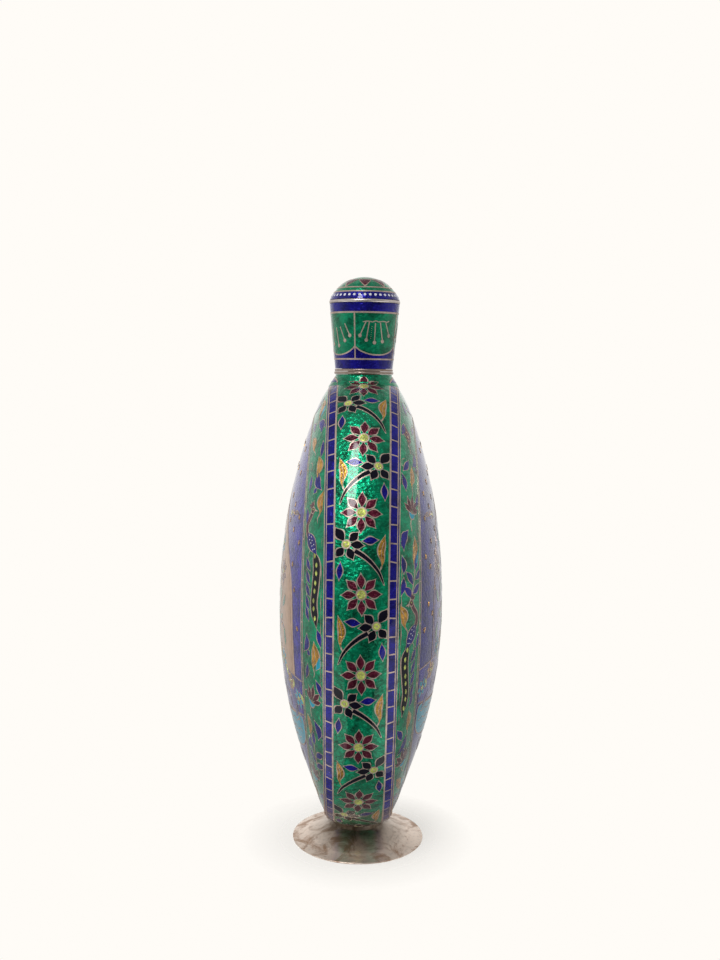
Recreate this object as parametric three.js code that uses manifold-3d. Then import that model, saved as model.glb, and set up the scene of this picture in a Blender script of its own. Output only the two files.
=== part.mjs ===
// An enamelled silver flask: an upright oval body with two domed faces, a crowned edge band,
// a short round neck with a screw cap, and a flared round foot.
// Millimetres, +Z up. The origin is the centre of the foot's underside, the neck's axis is +Z,
// the two domed faces look along -X and +X, and the narrow edge looks along -Y and +Y.

import * as THREE from 'three';
import { mergeVertices } from 'three/addons/utils/BufferGeometryUtils.js';
import Module from 'manifold-3d';

const wasm = await Module();
wasm.setup();

// Body
const BODY_HALF_HEIGHT = 75.3; // from the body's centre to the top of the edge band's crown
const BODY_HALF_WIDTH = 48.5; // from the body's centre to the front of the edge band's crown
const BAND_HALF_WIDTH = 11.4; // from the middle of the edge band to its corner
const BAND_CROWN = 3.2; // how far the band's corners lie inside its crown
const FACE_RISE = 15.2; // how far each face domes out from its rim
const FACE_FULLNESS = 0.9; // exponent of the dome: 1 is a paraboloid, less is fuller
const FACE_SLIMMING = 0.45; // how much that exponent grows from the middle down to the foot
const FACE_SLIM_START = 0.2; // share of the way down over which this growth sets in
const FACE_TOE = 0.35; // further growth just over the foot
const FACE_TOE_POWER = 8;
const SHEET = 1.0; // silver sheet of the body
const ENAMEL = 0.5; // fired enamel over the sheet
const SEAM_STRIP = 0.5; // silver strip let into the seam between band and face
const SEAM_STRIP_PROUD = 0.2; // how far that strip stands above the band's corner

// Foot
const FOOT_RADIUS = 22.2;
const FOOT_SHEET = 0.5;
const FOOT_HEIGHT = 5.4; // from the table to the foot of the hub
const FOOT_FLANGE = 3.7; // width of the nearly flat outer flange
const FOOT_FLANGE_RISE = 0.6; // how far the flange rises towards the centre
const FOOT_STEP = 0.35; // small raised step at the flange's inner edge
const FOOT_HUB_RADIUS = 8.6;
const FOOT_HUB_WALL = 1.4;
const FOOT_HUB_REACH = 0.6; // how far the hub stands up before it meets the body's lowest point

// Neck
const NECK_BORE_RADIUS = 4.2;
const NECK_WALL = 1.1;
const NECK_ROOT = 6.0; // how far the neck goes down into the body from its top
const COLLAR_STEP = 3.5; // from the neck tube's outside to the collar's outside
const COLLAR_WALL = 1.0;
const COLLAR_REACH = 0.8; // how far the collar stands above the body's top
const RIM_OVERHANG = 0.4; // how far the silver rim stands out past the collar's enamel
const RIM_THICKNESS = 0.8;

// Screw thread
const PITCH = 2.0;
const THREAD_DEPTH = 0.7;
const THREAD_TAPER = 0.3; // how much narrower the thread is at its crest than at its root
const THREAD_SIDE_CLEARANCE = 0.35; // between the flanks of the neck's and the cap's threads
const THREAD_CLEARANCE = 0.35; // between each crest and the wall that it faces
const THREAD_BITE = 0.2; // how far the thread's root is sunk into its own wall
const THREAD_START = 1.4; // from the rim to the middle of the neck thread's lowest turn
const THREAD_MARGIN = 1.2; // from the middle of the neck thread's highest turn to the lip
const NECK_THREAD_TURNS = 3.5;
const CAP_THREAD_TURNS = 1.5;

// Cap
const CAP_RIM_WIDTH = 2.25; // from the sleeve's outside to the cap's outside, at the mouth
const CAP_FLARE = 2.05; // how much larger the cap's radius is at the shoulder than at the mouth
const CAP_HEADROOM = 8.8; // from the top of the closed sleeve to the shoulder
const CAP_DOME_HEIGHT = 7.5;
const CAP_SHEET = 0.8;
const CAP_ENAMEL = 0.45;
const CAP_RING_HEIGHT = 0.6; // silver ring at the mouth
const SHOULDER_RING_HEIGHT = 1.2; // silver ring between wall and dome
const SLEEVE_WALL = 0.8;
const SLEEVE_COVER = 0.8; // disc that closes the threaded sleeve
const LINER_THICKNESS = 2.0; // cork disc that seals on the lip
const LINER_CLEARANCE = 0.35; // radial, between liner and sleeve

// Gaps between pieces that are soldered, fired or rested together
const SOLDER_GAP = 0.3;
const FIRED_GAP = 0.1;
const SEAT_GAP = 0.3; // between cap and rim, and on both sides of the liner

// Facets
const BODY_SEGMENTS = 48;
const FOOT_SEGMENTS = 40;
const ROUND_SEGMENTS = 32;
const THREAD_SEGMENTS = 20;
const DOME_RINGS = 7;
const CROWN_STEPS = 4;
const FOOT_STEPS = 4;
const HALVINGS = 40; // steps of the search for a face's rim

// Levels along the neck's axis
const bodyBottom = FOOT_HEIGHT + FOOT_HUB_REACH;
const bodyCentre = bodyBottom + BODY_HALF_HEIGHT;
const bodyTop = bodyCentre + BODY_HALF_HEIGHT;
const collarTop = bodyTop + COLLAR_REACH;
const neckBottom = bodyTop - NECK_ROOT;
const rimBottom = collarTop + FIRED_GAP;
const rimTop = rimBottom + RIM_THICKNESS;
const neckThreadStart = rimTop + THREAD_START;
const lip = neckThreadStart + NECK_THREAD_TURNS * PITCH + THREAD_MARGIN;
const capBottom = rimTop + SEAT_GAP;
const linerBottom = lip + SEAT_GAP;
const sleeveCeiling = linerBottom + LINER_THICKNESS + SEAT_GAP;
const sleeveTop = sleeveCeiling + SLEEVE_COVER;
const capShoulder = sleeveTop + CAP_HEADROOM;
const shoulderRingBottom = capShoulder + FIRED_GAP;
const shoulderRingTop = shoulderRingBottom + SHOULDER_RING_HEIGHT;
const domeBase = shoulderRingTop + FIRED_GAP;

// Radii about the neck's axis
const neckRadius = NECK_BORE_RADIUS + NECK_WALL;
const collarRadius = neckRadius + COLLAR_STEP;
const collarEnamelRadius = collarRadius + ENAMEL;
const rimRadius = collarEnamelRadius + RIM_OVERHANG;
const sleeveBore = neckRadius + THREAD_DEPTH + THREAD_CLEARANCE;
const sleeveRadius = sleeveBore + SLEEVE_WALL;
const capMouthRadius = sleeveRadius + CAP_RIM_WIDTH;
const capShoulderRadius = capMouthRadius + CAP_FLARE;

// Depths below the outside of the enamel
const sheetTop = ENAMEL + FIRED_GAP;
const sheetBottom = sheetTop + SHEET;
const capSheetTop = CAP_ENAMEL + FIRED_GAP;
const capSheetBottom = capSheetTop + CAP_SHEET;

// Distances along X from the body's middle plane
const bandSide = BAND_HALF_WIDTH - SEAM_STRIP / 2 - FIRED_GAP;
const faceBase = BAND_HALF_WIDTH + SEAM_STRIP / 2 + FIRED_GAP;

const SILVER = { color: 0xb9ada2, metalness: 0.9, roughness: 0.35 };
const FOOT_SILVER = { color: 0xa69c92, metalness: 0.85, roughness: 0.45 };
const GREEN_ENAMEL = { color: 0x0b8a5a, metalness: 0.2, roughness: 0.15 };
const BLUE_ENAMEL = { color: 0x1e1f8c, metalness: 0.1, roughness: 0.15 };
const CORK = { color: 0xb98a5b, metalness: 0.0, roughness: 0.9 };

const flask = new THREE.Group();

function addPiece(name, geometry, look) {
  const piece = new THREE.Mesh(geometry, new THREE.MeshStandardMaterial(look));
  piece.name = name;
  flask.add(piece);
}

function indexed(positions, index) {
  const geometry = new THREE.BufferGeometry();
  geometry.setAttribute('position', new THREE.Float32BufferAttribute(positions, 3));
  geometry.setIndex(index);
  geometry.computeVertexNormals();
  return geometry;
}

// Solids for joining and cutting
function toSolid(geometry) {
  const bare = geometry.clone();
  bare.deleteAttribute('normal');
  bare.deleteAttribute('uv');
  const merged = mergeVertices(bare, 1e-4);
  return new wasm.Manifold(new wasm.Mesh({
    numProp: 3,
    vertProperties: merged.attributes.position.array,
    triVerts: new Uint32Array(merged.index.array),
  }));
}

function toGeometry(solid) {
  const mesh = solid.getMesh();
  return indexed(Array.from(mesh.vertProperties), Array.from(mesh.triVerts));
}

// Round pieces about the neck's axis: outline points are [radius, height]
function turned(outline, segments = ROUND_SEGMENTS) {
  const points = outline.map(([radius, height]) => new THREE.Vector2(radius, height));
  return new THREE.LatheGeometry(points, segments).rotateX(Math.PI / 2);
}

function tube(innerRadius, outerRadius, bottom, top) {
  return turned([
    [innerRadius, bottom], [outerRadius, bottom], [outerRadius, top], [innerRadius, top],
    [innerRadius, bottom],
  ]);
}

function disc(radius, bottom, top) {
  return turned([[0, bottom], [radius, bottom], [radius, top], [0, top]]);
}

// Oval pieces of the body: each section gives [x, y, height over the body's centre] at an angle,
// and the surface runs from section to section. It ends in a point at both ends, or closes on
// itself as a ring.
function ovalPiece(sections, isRing) {
  const positions = [];
  for (const section of sections) {
    for (let step = 0; step < BODY_SEGMENTS; step++) {
      const [x, y, height] = section(2 * Math.PI * step / BODY_SEGMENTS);
      positions.push(x, y, bodyCentre + height);
    }
  }
  const index = [];
  const spans = isRing ? sections.length : sections.length - 1;
  for (let span = 0; span < spans; span++) {
    const near = span * BODY_SEGMENTS;
    const far = (span + 1) % sections.length * BODY_SEGMENTS;
    for (let step = 0; step < BODY_SEGMENTS; step++) {
      const next = (step + 1) % BODY_SEGMENTS;
      index.push(near + step, near + next, far + next, near + step, far + next, far + step);
    }
  }
  return indexed(positions, index);
}

// An oval section at a distance inside the band's crown
function ovalSection(inset, x) {
  return (angle) => [
    x, (BODY_HALF_WIDTH - inset) * Math.cos(angle), (BODY_HALF_HEIGHT - inset) * Math.sin(angle),
  ];
}

function mirroredSections(sections) {
  return sections.map((section) => (angle) => {
    const [x, y, height] = section(angle);
    return [-x, y, height];
  }).reverse();
}

// How far the band's surface lies inside its crown, at a distance from its middle: an arc
function crownDrop(x) {
  const radius = (BAND_HALF_WIDTH ** 2 + BAND_CROWN ** 2) / (2 * BAND_CROWN);
  return radius - Math.sqrt(radius ** 2 - x ** 2);
}

// The band's sections from one side to the other, at a depth below its surface
function bandSections(depth, halfAcross) {
  const sections = [];
  for (let step = 0; step <= CROWN_STEPS; step++) {
    const x = halfAcross * (2 * step / CROWN_STEPS - 1);
    sections.push(ovalSection(depth + crownDrop(x), x));
  }
  return sections;
}

// How high a face stands over its rim, at a share of the way from its middle to the rim. The
// direction's height is 1 straight up and -1 straight down, where the face is slimmer.
function faceRise(share, directionHeight) {
  const down = Math.max(0, -share * directionHeight);
  const exponent = FACE_FULLNESS + FACE_SLIMMING * down ** 2 / (down + FACE_SLIM_START)
    + FACE_TOE * down ** FACE_TOE_POWER;
  return FACE_RISE * Math.max(0, 1 - share ** 2) ** exponent;
}

// The share at which a face stands a given depth over its rim, found by halving
function shareAtRise(depth, directionHeight) {
  let inside = 0;
  let outside = 1;
  for (let turn = 0; turn < HALVINGS; turn++) {
    const middle = (inside + outside) / 2;
    if (faceRise(middle, directionHeight) > depth) inside = middle;
    else outside = middle;
  }
  return inside;
}

// A face's sections from its rim to its highest point, at a depth below its surface
function faceSections(depth) {
  const sections = [];
  for (let ring = 0; ring <= DOME_RINGS; ring++) {
    sections.push((angle) => {
      const directionHeight = Math.sin(angle);
      const rimShare = depth > 0 ? shareAtRise(depth, directionHeight) : 1;
      const share = rimShare * Math.cos(ring / DOME_RINGS * Math.PI / 2);
      const rise = ring === 0 && depth > 0 ? 0 : faceRise(share, directionHeight) - depth;
      return [
        faceBase + rise, (BODY_HALF_WIDTH - BAND_CROWN) * share * Math.cos(angle),
        (BODY_HALF_HEIGHT - BAND_CROWN) * share * directionHeight,
      ];
    });
  }
  return sections;
}

// The whole body as one solid, grown by a gap, for cutting what meets it
function bodySolid(gap) {
  const right = faceSections(-gap);
  const outline = [...mirroredSections(right), ...bandSections(-gap, BAND_HALF_WIDTH), ...right];
  return toSolid(ovalPiece(outline, false));
}

// The round hole in the body's top that the neck stands in
const neckHole = toSolid(disc(collarEnamelRadius + SOLDER_GAP, bodyCentre, lip));

function addBodyPiece(name, sections, isRing, look) {
  const solid = toSolid(ovalPiece(sections, isRing)).subtract(neckHole);
  addPiece(name, toGeometry(solid), look);
}

function buildBand() {
  const layer = (top, bottom) => [
    ...bandSections(top, bandSide), ...bandSections(bottom, bandSide).reverse(),
  ];
  addBodyPiece('edge_strip', layer(sheetTop, sheetBottom), true, SILVER);
  addBodyPiece('edge_enamel', layer(0, ENAMEL), true, GREEN_ENAMEL);
}

function buildFaces() {
  const layer = (top, bottom) => [...faceSections(bottom).reverse(), ...faceSections(top)];
  const plate = layer(sheetTop, sheetBottom);
  const skin = layer(0, ENAMEL);
  addBodyPiece('face_plate_right', plate, false, SILVER);
  addBodyPiece('face_plate_left', mirroredSections(plate), false, SILVER);
  addBodyPiece('face_enamel_right', skin, false, BLUE_ENAMEL);
  addBodyPiece('face_enamel_left', mirroredSections(skin), false, BLUE_ENAMEL);
}

function buildSeamStrips() {
  const near = BAND_HALF_WIDTH - SEAM_STRIP / 2;
  const far = BAND_HALF_WIDTH + SEAM_STRIP / 2;
  const outer = BAND_CROWN - SEAM_STRIP_PROUD;
  const inner = BAND_CROWN + sheetBottom;
  const strip = [ovalSection(outer, near), ovalSection(outer, far), ovalSection(inner, far),
    ovalSection(inner, near)];
  addBodyPiece('seam_strip_right', strip, true, SILVER);
  addBodyPiece('seam_strip_left', mirroredSections(strip), true, SILVER);
}

// A tapered thread carried round a right-hand helix, from its root radius to its crest
function thread(rootRadius, crestRadius, start, turns) {
  const rootWidth = PITCH / 2 - THREAD_SIDE_CLEARANCE + THREAD_TAPER / 2;
  const crestWidth = rootWidth - THREAD_TAPER;
  const corners = [
    [rootRadius, -rootWidth / 2], [crestRadius, -crestWidth / 2],
    [crestRadius, crestWidth / 2], [rootRadius, rootWidth / 2],
  ];
  const steps = Math.round(turns * THREAD_SEGMENTS);
  const positions = [];
  for (let step = 0; step <= steps; step++) {
    const angle = 2 * Math.PI * turns * step / steps;
    const middle = start + PITCH * turns * step / steps;
    for (const [radius, height] of corners) {
      positions.push(radius * Math.cos(angle), radius * Math.sin(angle), middle + height);
    }
  }
  const index = [0, 1, 2, 0, 2, 3];
  for (let step = 0; step < steps; step++) {
    for (let corner = 0; corner < corners.length; corner++) {
      const near = step * corners.length + corner;
      const beside = step * corners.length + (corner + 1) % corners.length;
      const ahead = corners.length;
      index.push(near, beside + ahead, beside, near, near + ahead, beside + ahead);
    }
  }
  const last = steps * corners.length;
  index.push(last, last + 2, last + 1, last, last + 3, last + 2);
  if (crestRadius < rootRadius) index.reverse();
  return toSolid(indexed(positions, index));
}

function buildNeck() {
  const neckThread = thread(neckRadius - THREAD_BITE, neckRadius + THREAD_DEPTH, neckThreadStart,
    NECK_THREAD_TURNS);
  const neckTube = toSolid(tube(NECK_BORE_RADIUS, neckRadius, neckBottom, lip));
  addPiece('neck_tube', toGeometry(neckTube.add(neckThread)), SILVER);
  addPiece('neck_collar', tube(collarRadius - COLLAR_WALL, collarRadius, neckBottom, collarTop),
    SILVER);
  addPiece('neck_rim', tube(neckRadius + SOLDER_GAP, rimRadius, rimBottom, rimTop), SILVER);
  const ring = toSolid(tube(collarRadius + FIRED_GAP, collarEnamelRadius, neckBottom, collarTop));
  addPiece('neck_enamel', toGeometry(ring.subtract(bodySolid(SOLDER_GAP))), GREEN_ENAMEL);
}

// A conical ring of the cap between two heights, and between two depths below its outside
function capRing(top, bottom, low, high) {
  const slope = CAP_FLARE / (capShoulder - capBottom);
  const radius = (height, depth) => capMouthRadius + slope * (height - capBottom) - depth;
  return turned([
    [radius(low, bottom), low], [radius(low, top), low],
    [radius(high, top), high], [radius(high, bottom), high],
    [radius(low, bottom), low],
  ]);
}

// A part of a spherical shell that closes the cap, between two depths below its outside
function capDome(top, bottom) {
  const radius = (capShoulderRadius ** 2 + CAP_DOME_HEIGHT ** 2) / (2 * CAP_DOME_HEIGHT);
  const centre = domeBase + CAP_DOME_HEIGHT - radius;
  const arc = (depth) => {
    const reach = radius - depth;
    const stop = Math.acos((domeBase - centre) / reach);
    const points = [];
    for (let ring = 0; ring <= DOME_RINGS; ring++) {
      const angle = stop * ring / DOME_RINGS;
      points.push([reach * Math.sin(angle), centre + reach * Math.cos(angle)]);
    }
    return points;
  };
  return turned([...arc(bottom), ...arc(top).reverse()]);
}

function buildCap() {
  const wallBottom = capBottom + CAP_RING_HEIGHT + FIRED_GAP;
  addPiece('cap_wall', capRing(capSheetTop, capSheetBottom, wallBottom, capShoulder), SILVER);
  addPiece('cap_wall_enamel', capRing(0, CAP_ENAMEL, wallBottom, capShoulder), GREEN_ENAMEL);
  addPiece('cap_mouth_ring', capRing(0, CAP_RIM_WIDTH - SOLDER_GAP, capBottom,
    capBottom + CAP_RING_HEIGHT), SILVER);
  addPiece('cap_shoulder_ring', tube(capShoulderRadius - capSheetBottom, capShoulderRadius,
    shoulderRingBottom, shoulderRingTop), SILVER);
  addPiece('cap_dome', capDome(capSheetTop, capSheetBottom), SILVER);
  addPiece('cap_dome_enamel', capDome(0, CAP_ENAMEL), BLUE_ENAMEL);
  const cup = toSolid(turned([
    [0, sleeveCeiling], [sleeveBore, sleeveCeiling], [sleeveBore, capBottom],
    [sleeveRadius, capBottom], [sleeveRadius, sleeveTop], [0, sleeveTop],
  ]));
  const capThread = thread(sleeveBore + THREAD_BITE, sleeveBore - THREAD_DEPTH,
    neckThreadStart + PITCH / 2, CAP_THREAD_TURNS);
  addPiece('cap_sleeve', toGeometry(cup.add(capThread)), SILVER);
  addPiece('cork_liner', disc(sleeveBore - LINER_CLEARANCE, linerBottom,
    linerBottom + LINER_THICKNESS), CORK);
}

// The foot is one spun sheet: a flange, a small step, a shallow cone and a short hub
function buildFoot() {
  const flangeInside = FOOT_RADIUS - FOOT_FLANGE;
  const flangeTop = FOOT_SHEET + FOOT_FLANGE_RISE;
  const hubInside = FOOT_HUB_RADIUS - FOOT_HUB_WALL;
  const hubTop = bodyBottom + BAND_CROWN;
  const stepInside = flangeInside - FOOT_STEP;
  const stepTop = flangeTop + FOOT_STEP;
  const cone = new THREE.QuadraticBezierCurve(
    new THREE.Vector2(stepInside, stepTop),
    new THREE.Vector2((stepInside + FOOT_HUB_RADIUS) / 2, (stepTop + FOOT_HEIGHT) / 2 - FOOT_STEP),
    new THREE.Vector2(FOOT_HUB_RADIUS, FOOT_HEIGHT),
  ).getPoints(FOOT_STEPS);
  const above = cone.map((point) => [point.x, point.y]);
  const below = cone.map((point) => [point.x - FOOT_SHEET / 2, point.y - FOOT_SHEET]).reverse();
  const sheet = turned([
    [flangeInside, 0], [FOOT_RADIUS, 0], [FOOT_RADIUS, FOOT_SHEET], [flangeInside, flangeTop],
    ...above, [FOOT_HUB_RADIUS, hubTop], [hubInside, hubTop], [hubInside, FOOT_HEIGHT - FOOT_SHEET],
    ...below, [flangeInside, 0],
  ], FOOT_SEGMENTS);
  const fitted = toSolid(sheet).subtract(bodySolid(SOLDER_GAP));
  addPiece('foot_plate', toGeometry(fitted), FOOT_SILVER);
}

buildFoot();
buildBand();
buildSeamStrips();
buildFaces();
buildNeck();
buildCap();

export default flask;
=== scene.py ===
import math
from contextlib import contextmanager

import bmesh
import bpy
import numpy as np
from bpy.props import FloatProperty, FloatVectorProperty, PointerProperty
from mathutils import Matrix, Vector


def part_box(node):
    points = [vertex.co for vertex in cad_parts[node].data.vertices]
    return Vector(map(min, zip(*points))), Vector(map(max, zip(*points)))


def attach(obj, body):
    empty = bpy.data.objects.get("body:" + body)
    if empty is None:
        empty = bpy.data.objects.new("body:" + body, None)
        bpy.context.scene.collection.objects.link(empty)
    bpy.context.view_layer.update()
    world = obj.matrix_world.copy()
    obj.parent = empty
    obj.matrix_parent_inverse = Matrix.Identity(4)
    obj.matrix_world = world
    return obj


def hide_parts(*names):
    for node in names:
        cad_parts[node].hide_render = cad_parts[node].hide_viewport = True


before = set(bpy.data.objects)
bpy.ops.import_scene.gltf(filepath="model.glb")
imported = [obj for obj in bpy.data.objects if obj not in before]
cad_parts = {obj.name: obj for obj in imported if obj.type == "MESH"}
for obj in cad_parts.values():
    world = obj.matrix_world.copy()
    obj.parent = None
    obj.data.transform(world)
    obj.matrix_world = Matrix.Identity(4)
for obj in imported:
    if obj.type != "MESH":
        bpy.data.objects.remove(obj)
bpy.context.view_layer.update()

bl_info = {
    "name": "Enamelled Flask",
    "version": (1, 0, 0),
    "blender": (4, 5, 0),
    "location": "View3D > Sidebar > Flask",
    "description": "A flat silver flask in cloisonne enamel, with a screw cap",
    "category": "Add Mesh",
}

MM = 0.001


def box_mm(node):
    """Lowest and highest corner of a solid of the frame, in millimetres."""
    low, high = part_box(node)
    return [value / MM for value in low], [value / MM for value in high]


# Sizes that the frame gives, in millimetres
FACE_LOW, FACE_HIGH = box_mm("face_enamel_right")
BAND_LOW, BAND_HIGH = box_mm("edge_enamel")
RIM_LOW, RIM_HIGH = box_mm("neck_rim")
MOUTH_LOW, MOUTH_HIGH = box_mm("cap_mouth_ring")
SHOULDER_LOW, SHOULDER_HIGH = box_mm("cap_shoulder_ring")
FOOT_RADIUS = box_mm("foot_plate")[1][0]
COLLAR, _, COLLAR_TOP = box_mm("neck_enamel")[1]  # radius and top of the green collar
DOME_TOP = box_mm("cap_dome_enamel")[1][2]

CENTRE = (FACE_LOW[2] + FACE_HIGH[2]) / 2  # height of the flask's centre
HALF_HEIGHT = CENTRE - BAND_LOW[2]
HALF_WIDTH = BAND_HIGH[1]

# The edge band, from its middle outwards, measured across it
CROWN_DROP, CROWN_REACH = 3.2, 11.4
CROWN = (CROWN_REACH ** 2 + CROWN_DROP ** 2) / (2 * CROWN_DROP)  # radius of its crown
GREEN_EDGE = 8.35  # where the green field meets the blue strips
BAND_EDGE = 10.6  # where the cells of the blue strips end
SEAM = 11.12  # where a face begins

# The faces: an oval in plan, domed
FACE_U, FACE_V = FACE_HIGH[1], (FACE_HIGH[2] - FACE_LOW[2]) / 2  # its half axes
FACE_BASE, FACE_RISE = FACE_LOW[0], FACE_HIGH[0] - FACE_LOW[0]
FACE_FULLNESS = 0.9  # a lower power makes a fuller face
FACE_SLIMMING, FACE_SLIM_START = 0.45, 0.2  # how it grows slimmer below its middle
FACE_TOE, FACE_TOE_POWER = 0.35, 8  # and once more just over the foot
BORDER = 10.6  # width of the green border, measured over the curve
LACE = 1.15  # width of the narrow strip inside the border
LACE_RUN = 0.82  # its length as a share of the face's edge
LACE_STEP = 4.7  # from wire to wire across it
SLANT = 1.21  # length over the curve of a millimetre in plan

# The cap: a cone under a dome
CAP_FOOT, CAP_RADIUS, CAP_FLARE = MOUTH_LOW[2], 9.4, 0.09535
CAP_MIDDLE = 10.6  # radius at which its pattern is drawn
DOME = 12.49  # radius of the dome
DOME_CENTRE = DOME_TOP - DOME
# Where its fields end and its white dots stand, in degrees from its pole
CROWN_END, RING_END, DOTS, BLUE_END = 46, 54, 60.3, 66.5

# Heights of plates, cells, bosses and eyes over the enamel, how far they reach into it, and the wire
PLATE, CELL, BOSS, EYE = 0.035, 0.06, 0.085, 0.11
DEPTH = 0.2
WIRE = 0.42


def length_property(name, words, value, least):
    return FloatProperty(name=name, description=words, default=value * MM, min=least, unit="LENGTH",
                         subtype="DISTANCE")


class FlaskSizes(bpy.types.PropertyGroup):
    """Sizes of the enamelled flask"""
    flower: length_property("Flower", "Radius of the eight-petalled flowers", 5.95, 0.001)
    flower_step: length_property("Flower step", "Distance from flower to flower", 24.0, 0.01)
    tick: length_property("Tick step", "Distance between the ticks of the blue strips", 5.65, 0.001)
    enamel: length_property("Enamel", "Thickness of the fired enamel", 0.4, 0.0001)


def colour_property(name, words, value):
    return FloatVectorProperty(name=name, description=words, default=value, size=3, min=0, max=1,
                               subtype="COLOR")


def linear(red, green, blue):
    """A colour given in 0 to 255 as linear light."""
    return tuple(c / 12.92 if c <= 0.04045 else ((c + 0.055) / 1.055) ** 2.4
                 for c in (red / 255, green / 255, blue / 255))


class FlaskColours(bpy.types.PropertyGroup):
    """Colours of the enamels and the silver"""
    green: colour_property("Green", "Clear green over engraved silver", linear(0, 138, 97))
    blue: colour_property("Blue", "Deep blue of the strips and leaves", linear(20, 16, 128))
    plum: colour_property("Plum", "Petals of the eight-petalled flowers", linear(86, 20, 42))
    black: colour_property("Black", "Petals and stems of the dark flowers", linear(12, 11, 26))
    lime: colour_property("Lime", "Centres of the flowers", linear(200, 212, 108))
    gold: colour_property("Gold", "Wavy leaves", linear(196, 146, 62))
    turquoise: colour_property("Turquoise", "Water and the small leaves", linear(40, 165, 190))
    violet: colour_property("Violet", "Ground at the foot of a face's picture", linear(56, 48, 150))
    sand: colour_property("Sand", "Warm field of a face's picture", linear(196, 160, 130))
    silver: colour_property("Silver", "Wires and rings", linear(206, 184, 170))
    tarnish: colour_property("Tarnish", "Brown film on the rings and the inside", linear(150, 122, 98))


# Materials

class Graph:
    """A node tree under construction."""

    def __init__(self, owner, output):
        owner.use_nodes = True
        self.nodes, self.links = owner.node_tree.nodes, owner.node_tree.links
        self.nodes.clear()
        self.surface = self.node(output).inputs["Surface"]

    def feed(self, socket, value):
        """Gives a socket a value, or links the output of another node to it."""
        if isinstance(value, bpy.types.NodeSocket):
            self.links.new(value, socket)
        else:
            socket.default_value = value

    def node(self, kind, inputs=None, **settings):
        made = self.nodes.new(kind)
        for name, value in settings.items():
            setattr(made, name, value)
        for name, value in (inputs or {}).items():
            self.feed(made.inputs[name], value)
        return made

    def ramp(self, factor, *stops):
        """A colour ramp; each stop is a place and a grey level or a colour."""
        made = self.node("ShaderNodeValToRGB", {0: factor})
        elements = made.color_ramp.elements
        while len(elements) < len(stops):
            elements.new(0.5)
        for element, (position, colour) in zip(elements, stops):
            element.position = position
            element.color = (*colour, 1) if isinstance(colour, tuple) else (colour, colour, colour, 1)
        return made.outputs[0]

    def maths(self, first, second, way="ADD"):
        return self.node("ShaderNodeMath", {0: first, 1: second}, operation=way).outputs[0]

    def length(self, vector):
        return self.node("ShaderNodeVectorMath", {0: vector}, operation="LENGTH").outputs["Value"]

    def mix_surfaces(self, share, first, second):
        """Shows the second surface by its share, and the first for the rest."""
        mix = self.node("ShaderNodeMixShader", {0: share, 1: first.outputs[0], 2: second.outputs[0]})
        self.links.new(mix.outputs[0], self.surface)


class Shade(Graph):
    """A material under construction, with one glossy surface."""

    def __init__(self, name):
        self.material = bpy.data.materials.new(name)
        super().__init__(self.material, "ShaderNodeOutputMaterial")
        self.gloss = self.node("ShaderNodeBsdfPrincipled")
        self.links.new(self.gloss.outputs[0], self.surface)
        self.place = self.node("ShaderNodeTexCoord").outputs["Object"]

    def settle(self, **values):
        """Feeds the inputs of the glossy surface, named in lower case, and returns the material."""
        for name, value in values.items():
            socket = name.replace("_", " ").title().replace("Ior", "IOR")
            self.feed(self.gloss.inputs[socket], value)
        return self.material

    def noise(self, scale, detail=3.0, roughness=0.5, distortion=0.0, place=None):
        return self.node("ShaderNodeTexNoise", {
            "Vector": place or self.place, "Scale": scale, "Detail": detail, "Roughness": roughness,
            "Distortion": distortion}).outputs["Fac"]

    def cells(self, scale, place=None):
        """Distance to the middle of the nearest of many small cells."""
        return self.node("ShaderNodeTexVoronoi", {"Vector": place or self.place, "Scale": scale},
                         feature="F1").outputs["Distance"]

    def stretched(self, *scale):
        return self.node("ShaderNodeMapping", {"Vector": self.place, "Scale": scale}).outputs[0]

    def blend(self, factor, first, second, way="MIX"):
        """Blends two colours, each given as three numbers or as a socket."""
        colours = [(*value, 1) if isinstance(value, tuple) else value for value in (first, second)]
        return self.node("ShaderNodeMix", {0: factor, 6: colours[0], 7: colours[1]}, data_type="RGBA",
                         blend_type=way).outputs[2]

    def bump(self, height, strength, distance):
        return self.node("ShaderNodeBump", {"Strength": strength, "Distance": distance,
                                            "Height": height}).outputs[0]


def scaled(colour, factor):
    return tuple(min(1.0, channel * factor) for channel in colour)


def clear_enamel(name, colour, tint=1.0, depth=0.3, glint=0.5, shine=0.6, grain=1.0, rough=0.5):
    """Clear enamel over engraved silver: the colour pools and thins, the metal sparkles through it, and
    lighter glints are painted into its colour.
    """
    shade = Shade(name + "_enamel")
    colour = scaled(colour, tint)
    pools = shade.noise(230 * grain, 4, 0.6, 0.6)
    body = shade.ramp(pools, (0.34, scaled(colour, depth)), (0.5, colour), (0.66, scaled(colour, 1.45)))
    cuts = shade.noise(1300 * grain, 3, 0.65, 0.8, shade.stretched(0.6, 0.6, 1.0))
    # Painted glints: where the fine cuts run high, the colour is lightened towards a paler glint colour.
    painted_glints = shade.ramp(cuts, (0.55, 0.0), (0.66, glint))
    light = tuple(a * 0.95 + b * 0.05 for a, b in zip(scaled(colour, 2.0), (0.75, 0.9, 0.85)))
    facets = shade.cells(1000 * grain, shade.stretched(0.7, 0.7, 1.0))
    return shade.settle(base_color=shade.blend(painted_glints, body, light),
                        normal=shade.bump(shade.maths(facets, cuts), rough, 0.0004),
                        metallic=shine, roughness=0.24, ior=1.5, specular_ior_level=0.1,
                        coat_weight=1.0, coat_roughness=0.06, coat_ior=1.38)


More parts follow.
